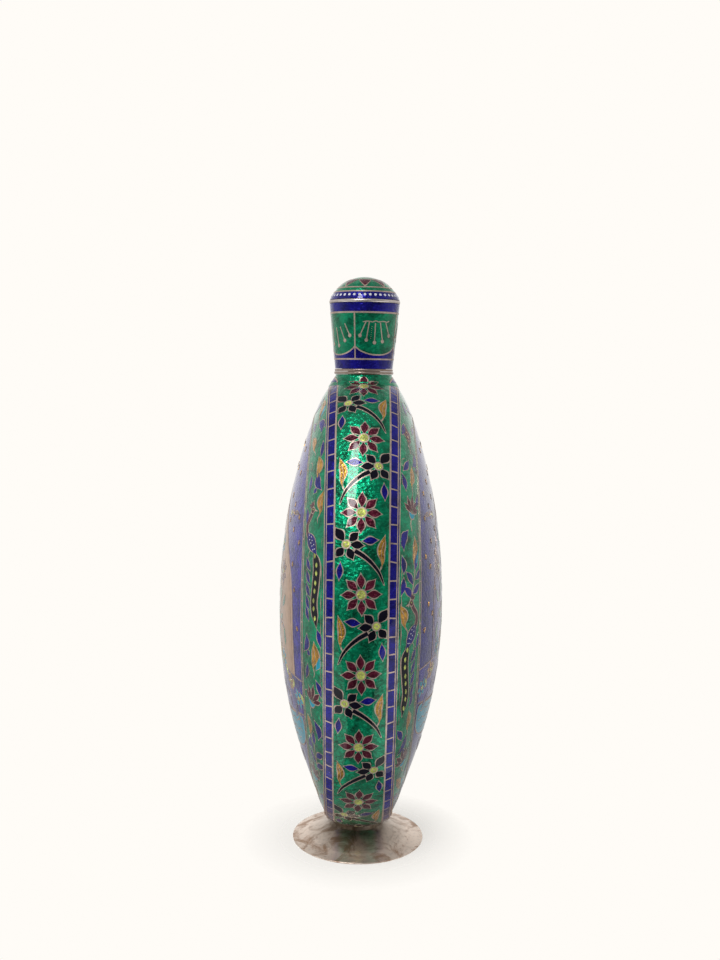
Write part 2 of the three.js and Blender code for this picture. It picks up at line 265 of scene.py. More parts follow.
def solid_enamel(name, colour, speckle):
    """Opaque enamel with faint speckle and pinholes under a fired gloss."""
    shade = Shade(name + "_enamel")
    cloud = shade.noise(320, 4, 0.6)
    body = shade.ramp(cloud, (0.3, scaled(colour, 1 - speckle)), (0.7, scaled(colour, 1 + speckle)))
    pits = shade.ramp(shade.cells(2600), (0.03, 0.25), (0.12, 1.0))
    return shade.settle(base_color=shade.blend(1.0, body, pits, "MULTIPLY"),
                        normal=shade.bump(cloud, 0.15, 0.00008),
                        metallic=0.0, roughness=0.4, ior=1.5, specular_ior_level=0.05,
                        coat_weight=1.0, coat_roughness=0.05, coat_ior=1.36)


def wire_silver(name, colour):
    """Drawn silver wire, filed flush and a little tarnished."""
    shade = Shade(name + "_silver")
    film = shade.noise(420, 4, 0.65)
    body = shade.ramp(film, (0.3, scaled(colour, 0.55)), (0.52, colour), (0.75, scaled(colour, 1.2)))
    return shade.settle(base_color=body, roughness=shade.ramp(film, (0.3, 0.5), (0.7, 0.3)),
                        normal=shade.bump(shade.noise(3200, 2), 0.25, 0.00005), metallic=0.55)


def turned_silver(name, colour, amount, film=None, shade_radius=None):
    """Spun silver with fine scratches and a brown film in patches; painted shade darkens it near the axis,
    within the given radius.
    """
    shade = Shade(name + "_silver")
    patches = shade.noise(150, 7, 0.66, 0.9)
    fine = shade.noise(900, 3, 0.6)
    filmed = shade.ramp(patches, (0.40, 0.9 * amount), (0.54, 0.04))
    toned = shade.blend(filmed, colour, film or tuple(bpy.context.scene.flask_colours.tarnish))
    # Painted shade: the silver darkens towards the axis, where the flask's body shades the foot's hub.
    if shade_radius:
        away = shade.maths(shade.maths(shade.length(shade.stretched(1.0, 1.0, 0.0)), 1 / shade_radius, "MULTIPLY"),
                           shade.maths(patches, 0.35, "MULTIPLY"))
        painted_shade = shade.ramp(away, (0.55, 0.9), (0.78, 0.4), (0.98, 0.12), (1.08, 0.0))
        toned = shade.blend(painted_shade, toned, linear(84, 74, 56))
    specks = shade.ramp(fine, (0.36, 0.87), (0.5, 1.0))
    return shade.settle(base_color=shade.blend(1.0, toned, specks, "MULTIPLY"),
                        roughness=shade.ramp(patches, (0.35, 0.46), (0.6, 0.32)),
                        normal=shade.bump(shade.maths(fine, patches), 0.12, 0.00015), metallic=0.8)


def pressed_cork(name, colour, dark):
    """Cork with a grain of two browns and dark pores."""
    shade = Shade(name)
    grain = shade.noise(700, 5, 0.7)
    pores = shade.ramp(shade.cells(900), (0.08, 0.35), (0.25, 1.0))
    body = shade.ramp(grain, (0.3, dark), (0.7, colour))
    return shade.settle(base_color=shade.blend(1.0, body, pores, "MULTIPLY"),
                        normal=shade.bump(grain, 0.5, 0.0002), roughness=0.85)


# Each paint: how it is made, its colour or the colour's name, and its settings
RECIPES = {
    "green": (clear_enamel, "green", {}),
    "deep_green": (clear_enamel, "green",
                   {"tint": 0.86, "depth": 0.5, "glint": 0.3, "shine": 0.5, "grain": 1.5, "rough": 0.4}),
    "blue": (clear_enamel, "blue", {"depth": 0.45, "glint": 0.3, "shine": 0.4}),
    "plum": (clear_enamel, "plum", {"depth": 0.5, "glint": 0.4, "shine": 0.35, "grain": 1.4}),
    "black": (solid_enamel, "black", {"speckle": 0.5}),
    "lime": (clear_enamel, "lime", {"depth": 0.6, "glint": 0.3, "shine": 0.3, "grain": 1.6}),
    "gold": (clear_enamel, "gold", {"depth": 0.4, "glint": 0.6, "grain": 1.4}),
    "turquoise": (solid_enamel, "turquoise", {"speckle": 0.25}),
    "violet": (clear_enamel, "violet", {"depth": 0.5, "glint": 0.3, "shine": 0.3}),
    "sand": (solid_enamel, "sand", {"speckle": 0.2}),
    "white": (solid_enamel, linear(226, 228, 236), {"speckle": 0.05}),
    "wire": (wire_silver, "silver", {}),
    "ring": (turned_silver, linear(232, 222, 216), {"amount": 0.25}),
    "rim": (turned_silver, linear(186, 168, 156), {"amount": 0.5}),
    # The foot's painted shade darkens it round the hub, out to about the given radius in metres.
    "foot": (turned_silver, linear(250, 232, 216),
             {"amount": 0.85, "film": linear(172, 128, 92), "shade_radius": 0.021}),
    "inside": (turned_silver, "silver", {"amount": 0.3}),
    "cork": (pressed_cork, linear(196, 152, 104), {"dark": linear(132, 92, 56)}),
}
PAINTS = {}  # materials made so far
SMOOTH_BELOW = math.radians(32)  # an edge with a wider bend stays sharp


def paint(name):
    """The material of one enamel or metal, made when it is first asked for."""
    if name not in PAINTS:
        maker, colour, settings = RECIPES[name]
        if isinstance(colour, str):
            colour = tuple(getattr(bpy.context.scene.flask_colours, colour))
        PAINTS[name] = maker(name, colour, **settings)
    return PAINTS[name]


def mesh_of(made, name):
    """Turns a bmesh into a mesh and frees it."""
    mesh = bpy.data.meshes.new(name)
    made.to_mesh(mesh)
    made.free()
    return mesh


def placed(name, data):
    """Adds an object to the scene."""
    made = bpy.data.objects.new(name, data)
    bpy.context.scene.collection.objects.link(made)
    return made


def finished(name, made, body, colour, replaced=()):
    """Turns a bmesh in metres into a piece that rides on a body of the frame."""
    bmesh.ops.recalc_face_normals(made, faces=made.faces[:])
    mesh = mesh_of(made, name)
    for polygon in mesh.polygons:
        polygon.use_smooth = True
    mesh.set_sharp_from_angle(angle=SMOOTH_BELOW)
    piece = placed(name, mesh)
    mesh.materials.append(paint(colour))
    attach(piece, body)
    if replaced:
        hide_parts(*replaced)


# Bending flat work onto the flask; each bender takes points as two places in the flat and a lift

def ellipse_run(across, up):
    """Angles round an ellipse and the length of its edge up to each, from its top."""
    angle = np.linspace(-math.pi, 3 * math.pi, 8001)
    step = np.hypot(np.diff(across * np.sin(angle)), np.diff(up * np.cos(angle)))
    run = np.concatenate(([0.0], np.cumsum(step)))
    return angle, run - np.interp(0, angle, run)


def length_along(line):
    """Length of a line up to each of its points."""
    return np.concatenate(([0.0], np.cumsum(np.hypot(*np.diff(line, axis=0).T))))


BAND_ANGLE, BAND_RUN = ellipse_run(HALF_WIDTH, HALF_HEIGHT)
BAND_LENGTH = float(np.interp(2 * math.pi, BAND_ANGLE, BAND_RUN))
BAND_LINES = np.linspace(0, BAND_LENGTH, 361)  # where the lines of its fields cross it
FACE_ANGLE, FACE_RUN = ellipse_run(FACE_U, FACE_V)
FACE_LENGTH = float(np.interp(2 * math.pi, FACE_ANGLE, FACE_RUN))
FACE_LINES = np.linspace(0, 2 * math.pi, 241)  # angles of the lines of its fields

# How much narrower the band is down its side and under the flask, by degrees from its top
PINCH_DEGREES, PINCH = (0, 35, 80, 140, 158, 173), (1.0, 1.0, 0.965, 0.95, 0.93, 0.885)


def pinch(angle):
    """Width of the band at an angle from its top, as a share of its full width."""
    turn = np.abs(np.mod(angle + math.pi, 2 * math.pi) - math.pi)
    return np.interp(turn, np.radians(PINCH_DEGREES), PINCH)


def bend_band(points):
    """Across, along from the top down the front, and lift, onto the crowned band."""
    across, along, lift = points.T
    angle = np.interp(along, BAND_RUN, BAND_ANGLE)
    across = across * pinch(angle)
    drop = CROWN - np.sqrt(CROWN ** 2 - across ** 2)
    lean = np.arcsin(across / CROWN)
    out = np.stack([np.sin(angle) / HALF_WIDTH, np.cos(angle) / HALF_HEIGHT])
    out /= np.hypot(*out)
    raised = lift * np.cos(lean)
    return np.stack([across + lift * np.sin(lean),
                     -((HALF_WIDTH - drop) * np.sin(angle) + raised * out[0]),
                     CENTRE + (HALF_HEIGHT - drop) * np.cos(angle) + raised * out[1]], 1) * MM


# Outline of the green collar below its top, as distance out from its wall and distance down
FLARE = (0.0, 0.7), (0.3, 1.2), (0.8, 1.85), (1.4, 2.6), (1.95, 3.4), (2.35, 4.1)


def collar_flare():
    """Outline of the green collar down to where it meets the band, as radius and height."""
    return line_through([(COLLAR + out, COLLAR_TOP - down) for out, down in FLARE], 16)[0]


def bend_band_and_collar(points):
    """As bend_band, but what reaches the neck climbs the collar's flare."""
    bent = bend_band(points)
    reach = np.hypot(points[:, 0], points[:, 1])
    start = COLLAR + 1.25
    climbs = reach < start
    if climbs.any():
        flare = collar_flare()[:10][::-1]
        run = length_along(flare)
        climb = np.clip(start - reach[climbs], 0, run[-1])
        radius, height = np.interp(climb, run, flare[:, 0]), np.interp(climb, run, flare[:, 1])
        out = points[climbs, :2] / np.maximum(reach[climbs], 1e-6)[:, None]
        radius = radius + points[climbs, 2] * 0.8 + 0.04
        bent[climbs] = np.stack([radius * out[:, 0], -radius * out[:, 1],
                                 height + points[climbs, 2] * 0.6 + 0.04], 1) * MM
    return bent


def face_rise(right, up):
    """How high a face stands over its rim; it is slimmer towards the foot and closes on the seam."""
    left_over = np.clip(1 - (right / FACE_U) ** 2 - (up / FACE_V) ** 2, 0.0, 1.0)
    down = np.clip(-up / FACE_V, 0.0, 1.0)
    fullness = (FACE_FULLNESS + FACE_SLIMMING * down ** 2 / (down + FACE_SLIM_START)
                + FACE_TOE * down ** FACE_TOE_POWER)
    angle = np.arctan2(right / FACE_U, up / FACE_V)
    rim = np.clip((np.sqrt(1 - left_over) - 0.9) / 0.1, 0.0, 1.0) ** 2
    return FACE_RISE * left_over ** fullness - rim * (FACE_BASE - 0.02 - SEAM * pinch(angle))


def face_edge(angle):
    """Places on a face's edge in its plan, and the directions that point out of the face there."""
    edge = np.stack([FACE_U * np.sin(angle), FACE_V * np.cos(angle)], 1)
    out = np.stack([np.sin(angle) / FACE_U, np.cos(angle) / FACE_V], 1)
    return edge, out / np.hypot(*out.T)[:, None]


def face_bender(side):
    """Right, up and lift in a face's plan onto the domed face; side is 1 for +X and -1 for -X."""
    def bend(points):
        right, up, lift = points.T
        inward = np.minimum(1.0, 0.997 / np.maximum(np.hypot(right / FACE_U, up / FACE_V), 1e-6))
        x, y, small = right * inward, up * inward, 0.02
        slope_right = (face_rise(x - small, y) - face_rise(x + small, y)) / small / 2
        slope_up = (face_rise(x, y - small) - face_rise(x, y + small)) / small / 2
        size = np.sqrt(1 + slope_right ** 2 + slope_up ** 2)
        return np.stack([side * (FACE_BASE + face_rise(right, up) + lift / size),
                         side * (right + lift * slope_right / size),
                         CENTRE + up + lift * slope_up / size], 1) * MM
    return bend


def bend_cap(points):
    """Round from the front, height over the cap's foot and lift onto the cap's conical wall."""
    around, height, lift = points.T
    angle = around / CAP_MIDDLE
    tilt = math.atan(CAP_FLARE)
    radius = CAP_RADIUS + CAP_FLARE * height + lift * math.cos(tilt)
    return np.stack([radius * np.sin(angle), -radius * np.cos(angle),
                     CAP_FOOT + height - lift * math.sin(tilt)], 1) * MM


def bend_dome(points):
    """Degrees round from the front, degrees from the pole, and lift onto the cap's dome."""
    around, fall = np.radians(points[:, 0]), np.radians(points[:, 1])
    radius = DOME + points[:, 2]
    return np.stack([radius * np.sin(fall) * np.sin(around), -radius * np.sin(fall) * np.cos(around),
                     DOME_CENTRE + radius * np.cos(fall)], 1) * MM


# Flat work

FLATS = {}  # flat meshes that are drawn again and again


def grid(steps, rows):
    """A flat grid as a mesh, with each point's place along it, 0 to 1, and across it, -1 to 1."""
    if (steps, rows) not in FLATS:
        made = bmesh.new()
        bmesh.ops.create_grid(made, x_segments=steps, y_segments=rows, size=0.5)
        mesh = mesh_of(made, "grid")
        places = np.array([vertex.co for vertex in mesh.vertices])
        FLATS[(steps, rows)] = mesh, places[:, 0] + 0.5, places[:, 1] * 2
    return FLATS[(steps, rows)]


def disc(sides):
    """A flat disc of radius 1 as a mesh, with its points."""
    if sides not in FLATS:
        made = bmesh.new()
        bmesh.ops.create_circle(made, cap_ends=True, cap_tris=True, segments=sides, radius=1)
        mesh = mesh_of(made, "disc")
        FLATS[sides] = mesh, np.array([vertex.co for vertex in mesh.vertices])[:, :2]
    return FLATS[sides]


def line_through(points, count=48):
    """Evenly spaced places on a smooth line through the points, and the line's length."""
    marks = np.array(points, float)
    if len(marks) > 2:
        padded = np.vstack([2 * marks[0] - marks[1], marks, 2 * marks[-1] - marks[-2]])
        t = np.linspace(0, 1, 17)[:, None]
        marks = np.vstack([
            0.5 * (2 * b + (c - a) * t + (2 * a - 5 * b + 4 * c - d) * t ** 2
                   + (3 * b - 3 * c + d - a) * t ** 3)
            for a, b, c, d in zip(padded, padded[1:], padded[2:], padded[3:])])
    run = length_along(marks)
    return interpolated(np.linspace(0, run[-1], count + 1), run, marks), run[-1]


def interpolated(places, marks, points):
    """Points at some places of a line whose points are known at its marks."""
    return np.stack([np.interp(places, marks, points[:, k]) for k in (0, 1)], 1)


# Shapes of a strip: its half width by the place along it, both from 0 to 1

def pointed(power, sharpness=1.0, least=0.02):
    """A shape with a point at both ends; a power over 1 puts its widest place further along."""
    return lambda a: np.maximum(np.sin(np.pi * a ** power) ** sharpness, least)


almond, petal, drop, flame = pointed(1.0), pointed(1.12, 1.08), pointed(0.8, least=0.03), pointed(0.85, 1.2)


def even(a):
    return np.ones_like(a)


def taper(a):
    return np.maximum(1 - a, 0.0) ** 0.6 * 0.85 + 0.15


def bar(a):
    return np.minimum(1, np.minimum(a, 1 - a) * 6 + 0.1)


class Bench:
    """Flat work for one surface, drawn in millimetres and bent onto it when it is done."""

    def __init__(self, bend):
        self.bend, self.lay, self.frames, self.sheets = bend, None, [], {}

    @contextmanager
    def at(self, right, up, turn=0.0, size=1.0, stretch=1):
        """Draws at a place within the present one, turned clockwise; a stretch of -1 mirrors it."""
        angle = math.radians(-turn)
        spin = np.array([[math.cos(angle), -math.sin(angle)], [math.sin(angle), math.cos(angle)]]) * size
        self.frames.append(lambda points: (points * (stretch, 1)) @ spin.T + (right, up))
        yield
        self.frames.pop()

    def draw(self, colour, mesh, points, lift):
        """Adds a copy of a flat mesh, moved to the points, to the sheet of its colour."""
        for step in reversed(self.frames):
            points = step(points)
        if self.lay:
            points = self.lay(points)
        sheet = self.sheets.setdefault(colour, bmesh.new())
        mesh.vertices.foreach_set("co", np.column_stack([points, np.full(len(points), lift)]).ravel())
        sheet.from_mesh(mesh)

    def blade(self, colour, spine, width, shape=almond, lift=CELL, steps=6, rows=2, grow=0.0):
        """A strip along a line, as wide as its shape says, that can grow past both ends."""
        mesh, along, across = grid(steps, rows)
        line = line_through(spine, max(48, 2 * len(spine)))[0]
        if grow:
            ends = (line[0] - line[1], line[-1] - line[-2])
            first, last = (end / (np.hypot(*end) + 1e-9) * grow for end in ends)
            line = np.vstack([line[0] + first, line[1:-1], line[-1] + last])
        place = np.linspace(0, 1, len(line))
        slope = interpolated(along, place, np.gradient(line, axis=0))
        slope /= np.hypot(*slope.T)[:, None] + 1e-12
        side = np.stack([-slope[:, 1], slope[:, 0]], 1)
        half = (across * width / 2 * shape(along))[:, None]
        self.draw(colour, mesh, interpolated(along, place, line) + side * half, lift)

    def cell(self, colour, spine, width, shape=almond, steps=8, wire=WIRE, lift=0.0):
        """A cell of enamel within its wire."""
        self.blade("wire", spine, width + 2 * wire, shape, PLATE + lift, steps, grow=wire * 1.35)
        self.blade(colour, spine, width, shape, CELL + lift, steps)

    def leaf(self, colour, half, width, bow, wire, lift=0.0):
        """An upright leaf that reaches its half up and down, bowed to the right."""
        self.cell(colour, [(0, -half), (bow, 0), (0, half)], width, wire=wire, lift=lift)

    def line(self, spine, width=WIRE, lift=PLATE, shape=even):
        """A wire along a line."""
        self.blade("wire", spine, width, shape, lift, max(2, int(line_through(spine)[1] / 1.1)), 1)

    def dot(self, colour, right, up, radius, lift=BOSS, sides=12):
        """A small round boss."""
        mesh, places = disc(sides)
        self.draw(colour, mesh, places * radius + (right, up), lift)

    def area(self, colour, left, right, lift, steps, rows, wire=WIRE):
        """A field of enamel between two lines that run the same way, with a wire on each if it has one."""
        mesh, along, across = grid(steps, rows)
        count = max(48, 2 * len(left))
        place = np.linspace(0, 1, count + 1)
        first, second = (interpolated(along, place, line_through(line, count)[0]) for line in (left, right))
        share = ((across + 1) / 2)[:, None]
        self.draw(colour, mesh, first * (1 - share) + second * share, lift)
        if wire:
            self.line(left, wire, lift + 0.02)
            self.line(right, wire, lift + 0.02)

    def pieces(self, prefix, body):
        """Gives every sheet its thickness, bends it on and finishes it."""
        for colour, sheet in self.sheets.items():
            under = sheet.verts[:]
            bmesh.ops.extrude_face_region(sheet, geom=sheet.faces[:])
            bmesh.ops.translate(sheet, verts=under, vec=(0, 0, -DEPTH))
            bend_onto(sheet, self.bend)
            finished(prefix + "_" + colour, sheet, body, colour)


def bend_onto(made, bend):
    for vertex, place in zip(made.verts, bend(np.array([vertex.co for vertex in made.verts]))):
        vertex.co = place


def ground(name, bend, across, along, body, colour, replaced=(), clear_of=None, thick=None):
    """A smooth field of enamel from lines across and along, bent onto its surface."""
    made = bmesh.new()
    bmesh.ops.create_grid(made, x_segments=len(along) - 1, y_segments=len(across) - 1, size=0.5)
    shares = np.linspace(0, 1, len(across)), np.linspace(0, 1, len(along))
    bend_onto(made, lambda flat: np.column_stack([np.interp(flat[:, 1] + 0.5, shares[0], across),
                                                  np.interp(flat[:, 0] + 0.5, shares[1], along),
                                                  flat[:, 2]]))
    if clear_of:
        clear_of(made)
    bend_onto(made, bend)
    bmesh.ops.remove_doubles(made, verts=made.verts[:], dist=1e-6)
    bmesh.ops.recalc_face_normals(made, faces=made.faces[:])
    made.normal_update()
    centre = Vector((0, 0, CENTRE * MM))
    outward = sum(face.normal.dot(face.calc_center_median() - centre) * face.calc_area()
                  for face in made.faces)
    if outward < 0:
        bmesh.ops.reverse_faces(made, faces=made.faces[:])
    thickness = thick or bpy.context.scene.flask_sizes.enamel
    bmesh.ops.solidify(made, geom=made.faces[:], thickness=thickness)
    finished(name, made, body, colour, replaced)


def turned(name, profile, body, colour, replaced=(), sides=128):
    """A closed section spun round the neck's axis."""
    made = bmesh.new()
    points = [made.verts.new((radius * MM, 0, height * MM)) for radius, height in profile]
    edges = [made.edges.new((a, b)) for a, b in zip(points, points[1:] + points[:1])]
    bmesh.ops.spin(made, geom=points + edges, cent=(0, 0, 0), axis=(0, 0, 1), angle=2 * math.pi,
                   steps=sides, use_merge=True)
    bmesh.ops.remove_doubles(made, verts=made.verts[:], dist=1e-7)
    finished(name, made, body, colour, replaced)


def rounded_band(inner, outer, low, high, soft):
    """Section of a ring with soft outer corners."""
    turns = [math.radians(a) for a in (0, 22.5, 45, 67.5, 90)]
    upper = [(outer - soft + soft * math.cos(a), high - soft + soft * math.sin(a)) for a in turns]
    lower = [(outer - soft + soft * math.sin(a), low + soft - soft * math.cos(a)) for a in turns]
    return [(inner, low)] + lower + upper + [(inner, high)]


# Motifs

def plum_flower(bench, radius):
    """Eight petals round a light centre with five specks."""
    for k in range(8):
        with bench.at(0, 0, 45 * k):
            bench.cell("plum", [(0, 1.45), (0, radius)], 2.15, petal, wire=0.4)
    bench.dot("wire", 0, 0, 1.72, BOSS, 16)
    bench.dot("lime", 0, 0, 1.28, EYE, 14)
    for k in range(5):
        angle = 2 * math.pi * k / 5
        bench.dot("wire", 0.62 * math.cos(angle), 0.62 * math.sin(angle), 0.15, EYE + 0.015, 6)


def dark_flower(bench):
    """Five uneven petals, the longest turned up and out to the right."""
    for turn, reach, width in ((33, 5.9, 2.6), (313, 4.9, 2.4), (265, 5.3, 2.3), (205, 4.9, 2.35),
                               (140, 4.6, 2.4)):
        with bench.at(0, 0, turn):
            bench.cell("black", [(0, 1.0), (0, reach)], width, petal, wire=0.4)
    bench.dot("wire", 0, 0, 1.45, BOSS, 14)
    bench.dot("lime", 0, 0, 1.05, EYE, 12)
    bench.dot("wire", 0.1, 0, 0.28, EYE + 0.015, 8)


def gold_leaf(bench, length, width):
    """A wavy upright leaf that runs out below into a thin tail."""
    half = length / 2
    bench.cell("gold", [(-0.75, half), (-0.15, half * 0.55), (0.4, 0), (-0.1, -half * 0.55), (0.15, -half)],
               width, flame, steps=12, wire=0.38)
    bench.line([(0.15, -half + 0.3), (0.75, -half - 1.0), (0.6, -half - 2.7)], 0.5, shape=taper)
    bench.blade("wire", [(-0.4, half * 0.6), (0.3, 0.0), (0.0, -half * 0.7)], 0.2, taper, EYE, 8, 1)


def band_unit(bench):
    """What stands between two plum flowers: dark flower to the right, its stem down to the left."""
    bench.cell("black", [(2.1, -11.3), (-0.4, -12.7), (-3.0, -14.8), (-5.3, -17.6), (-6.7, -20.8)], 1.25,
               taper, steps=14, wire=0.38)
    with bench.at(4.7, -9.3):
        dark_flower(bench)
    with bench.at(-2.5, -8.2, 96):
        bench.leaf("blue", 2.3, 2.1, 0, 0.38)
    with bench.at(-6.15, -11.3):
        gold_leaf(bench, 9.4, 1.85)
    with bench.at(6.6, -17.2, -4):
        bench.leaf("blue", 2.5, 1.7, 0, 0.38)


def lotus(bench):
    """A side view of an opening flower on a stalk: narrow dark petals over a turquoise cup."""
    for turn, reach in ((-56, 4.4), (-29, 5.6), (0, 6.4), (29, 5.6), (56, 4.4)):
        with bench.at(0, 0, turn):
            bench.cell("plum", [(0, 0.9), (0, reach)], 1.35, petal, wire=0.34)
    with bench.at(0, -0.3):
        bench.cell("turquoise", [(-1.7, 0.7), (0, -0.5), (1.7, 0.7)], 1.5, lift=0.03)
    bench.line([(0, -0.9), (-0.6, -3.2), (0.3, -5.4)])


def bud(bench):
    """A drop-shaped bud with a bent tip and light spots."""
    bench.cell("plum", [(-1.6, 4.6), (-1.2, 2.6), (0.2, 0.2), (0.3, -2.8)], 4.0, flame, steps=12)
    for right, up, radius in ((-0.8, 1.9, 0.42), (-0.1, 0.5, 0.55), (0.2, -1.0, 0.42)):
        bench.dot("sand", right, up, radius, EYE, 8)
    bench.line([(0.3, -2.8), (1.4, -4.4), (0.6, -6.2)], shape=taper)


def curl(bench):
    """A small rolled tendril of wire."""
    bench.line([(2.2 * (1 - t / 4.6) * math.sin(t), 2.2 * (1 - t / 4.6) * math.cos(t) - 2.2)
                for t in np.linspace(0, 3.6, 14)], 0.3)


def sprig(bench):
    """A curved stem with pointed leaves on both sides."""
    bench.line([(-1.6, -7.5), (-0.2, -3.5), (0.7, 0.5), (1.0, 4.4)])
    for right, up, turn, half in ((-2.0, -3.2, -52, 2.5), (2.3, -1.6, 48, 2.6), (-1.8, 1.2, -46, 2.5),
                                  (3.2, 3.0, 42, 2.4), (1.0, 6.6, 2, 2.5)):
        with bench.at(right, up, turn):
            bench.leaf("blue", half, 2.0, 0.3, 0.34)


TAIL = [(-1.2, -3.2), (-2.6, -8.0), (-2.2, -14.0), (-1.6, -20.0), (-2.8, -26.5)]


def peacock(bench):
    """A peacock in profile, looking left, its long tail hanging below it and leaves beside the tail."""
    bench.cell("black", TAIL, 2.5, bar, steps=22, wire=0.36)
    line = line_through(TAIL)[0]
    for k in range(8):
        share = (k + 0.8) / 8.6
        with bench.at(*line[int(share * 48)], 6 - 10 * share):
            bench.blade("lime", [(0, -0.85), (0, 0.85)], 0.85, almond, EYE, 4)
    # Neck and body
    bench.cell("plum", [(1.2, 0.6), (3.0, 2.4), (3.2, 5.2), (1.2, 7.4), (0.0, 9.0)], 1.35, even, steps=16,
               lift=0.01, wire=0.34)
    bench.cell("blue", [(2.4, 2.2), (1.0, 0.2), (-0.7, -2.2), (-2.4, -4.6)], 4.0, drop, steps=12, lift=0.02,
               wire=0.36)
    # Head with eye, beak and crest
    bench.dot("wire", -0.2, 9.3, 1.2)
    bench.dot("plum", -0.2, 9.3, 0.88, EYE, 10)
    bench.dot("lime", -0.4, 9.45, 0.26, EYE + 0.02, 6)
    bench.line([(-1.1, 9.2), (-2.8, 8.5)], 0.6, BOSS, taper)
    for turn in (-14, 18, 50):
        with bench.at(0.1, 10.0, turn):
            bench.cell("plum", [(0, 0.1), (0, 2.3)], 0.8, petal, wire=0.28)
    # Spots on the body, foot, and leaves beside the tail
    for right, up in ((1.5, 1.6), (0.2, 0.9), (1.3, 0.1), (-0.3, -0.3), (0.5, -1.0), (-1.2, -1.6),
                      (-0.3, -2.0), (-1.6, -3.0), (-0.8, -3.2)):
        bench.dot("white", right, up, 0.22, EYE, 6)
    bench.line([(0.4, -3.0), (1.8, -4.4), (1.6, -5.8)], 0.3)
    for up, turn in ((-7.5, 30), (-11.5, 26), (-15.5, 26), (-19.5, 22), (-23.0, 20)):
        with bench.at(1.7, up, turn):
            bench.cell("blue", [(0, -2.4), (0.3, 0), (0, 2.3)], 1.7, wire=0.32)


def small_bird(bench):
    """A small bird in profile, looking left."""
    bench.cell("blue", [(-2.6, 0.6), (0, 0), (3.0, -1.2)], 2.4, drop)
    bench.cell("plum", [(1.4, -0.6), (4.4, -1.6), (7.2, -3.4)], 1.2, lift=-0.01)
    bench.dot("wire", -2.7, 1.4, 1.15)
    bench.dot("lime", -2.7, 1.4, 0.8, EYE, 10)
    bench.line([(-3.6, 1.4), (-4.9, 1.0)], 0.5, BOSS, taper)
    bench.blade("gold", [(-1.0, 0.5), (1.0, -0.1), (2.6, -1.6)], 0.9, almond, EYE)


def star(bench):
    """A small gold star with six points."""
    for turn in (0, 60, 120):
        with bench.at(0, 0, turn):
            bench.blade("gold", [(0, -0.95), (0, 0.95)], 0.4, almond, CELL + 0.03, 4, 1)


def rosette(bench, colour, petals, reach, width):
    """A round flower with a light centre."""
    for k in range(petals):
        with bench.at(0, 0, 360 * k / petals):
            bench.cell(colour, [(0, reach * 0.25), (0, reach)], width, petal, wire=0.3, lift=0.03)
    bench.dot("wire", 0, 0, reach * 0.28, BOSS + 0.03)
    bench.dot("lime", 0, 0, reach * 0.2, EYE + 0.03)


def border_leaf(bench):
    bench.leaf("blue", 2.6, 1.8, 0.3, 0.34)


def border_gold(bench):
    gold_leaf(bench, 7.4, 2.5)


def border_water(bench):
    """A gold leaf with a turquoise one beside it."""
    gold_leaf(bench, 8.6, 2.7)
    with bench.at(1.6, -1.6, 8):
        bench.cell("turquoise", [(0, -2.4), (0.4, 0), (0, 2.2)], 1.5, wire=0.3)


def border_blue(bench):
    """A large blue leaf with a small one at its side."""
    bench.cell("blue", [(-0.8, -3.0), (0.6, 0), (-0.2, 3.2)], 2.6, petal, wire=0.36)
    bench.cell("blue", [(1.2, -1.6), (2.8, -2.8)], 1.5, wire=0.32)


MOTIFS = {"leaf": border_leaf, "gold": border_gold, "water": border_water, "blue": border_blue, "curl": curl,
          "sprig": sprig, "bud": bud, "lotus": lotus, "peacock": peacock}

# The front halves of the two faces' borders, from the top down: millimetres along the border, motif,
# millimetres to its right, degrees of turn, and -1 where it is mirrored
FRONT_OF_RIGHT = (
    (11, "blue", 1, 60, 1), (17, "leaf", -2.6, -30, 1), (19, "curl", 2.5, 0, 1),
    (23, "leaf", 3.4, 20, -1), (30, "bud", -1.0, 0, 1), (28, "leaf", -3.9, 10, 1),
    (37, "blue", 3.0, 10, 1), (39, "curl", -3.4, 0, -1), (44, "gold", 0.8, 6, 1),
    (41, "leaf", -2.6, 30, 1), (47, "leaf", -3.7, -20, 1), (51, "leaf", 3.9, 24, 1),
    (56.5, "lotus", 0.2, 4, 1), (62, "curl", 3.6, 10, 1), (65, "blue", -3.4, 20, -1),
    (68, "water", 1.8, 10, 1), (72.5, "leaf", -4.0, -8, 1), (78, "sprig", 0.6, 6, 1),
    (79, "leaf", -4.1, 10, 1), (88, "gold", -3.6, -10, 1), (93.5, "peacock", 0, 0, 1),
    (97, "leaf", 4.2, 20, 1), (124, "gold", 1.2, 8, 1), (127, "leaf", -3.4, -24, 1),
    (132, "blue", -1.4, 30, 1), (134, "curl", 3.0, 0, 1), (140, "lotus", -0.6, -8, 1),
    (147, "leaf", 3.4, 30, 1), (150, "water", -1.6, -12, 1), (158, "blue", 1.8, 20, 1),
    (163, "sprig", -0.6, -30, 1), (173, "leaf", 0, -60, 1), (180, "blue", 0.5, -80, 1))
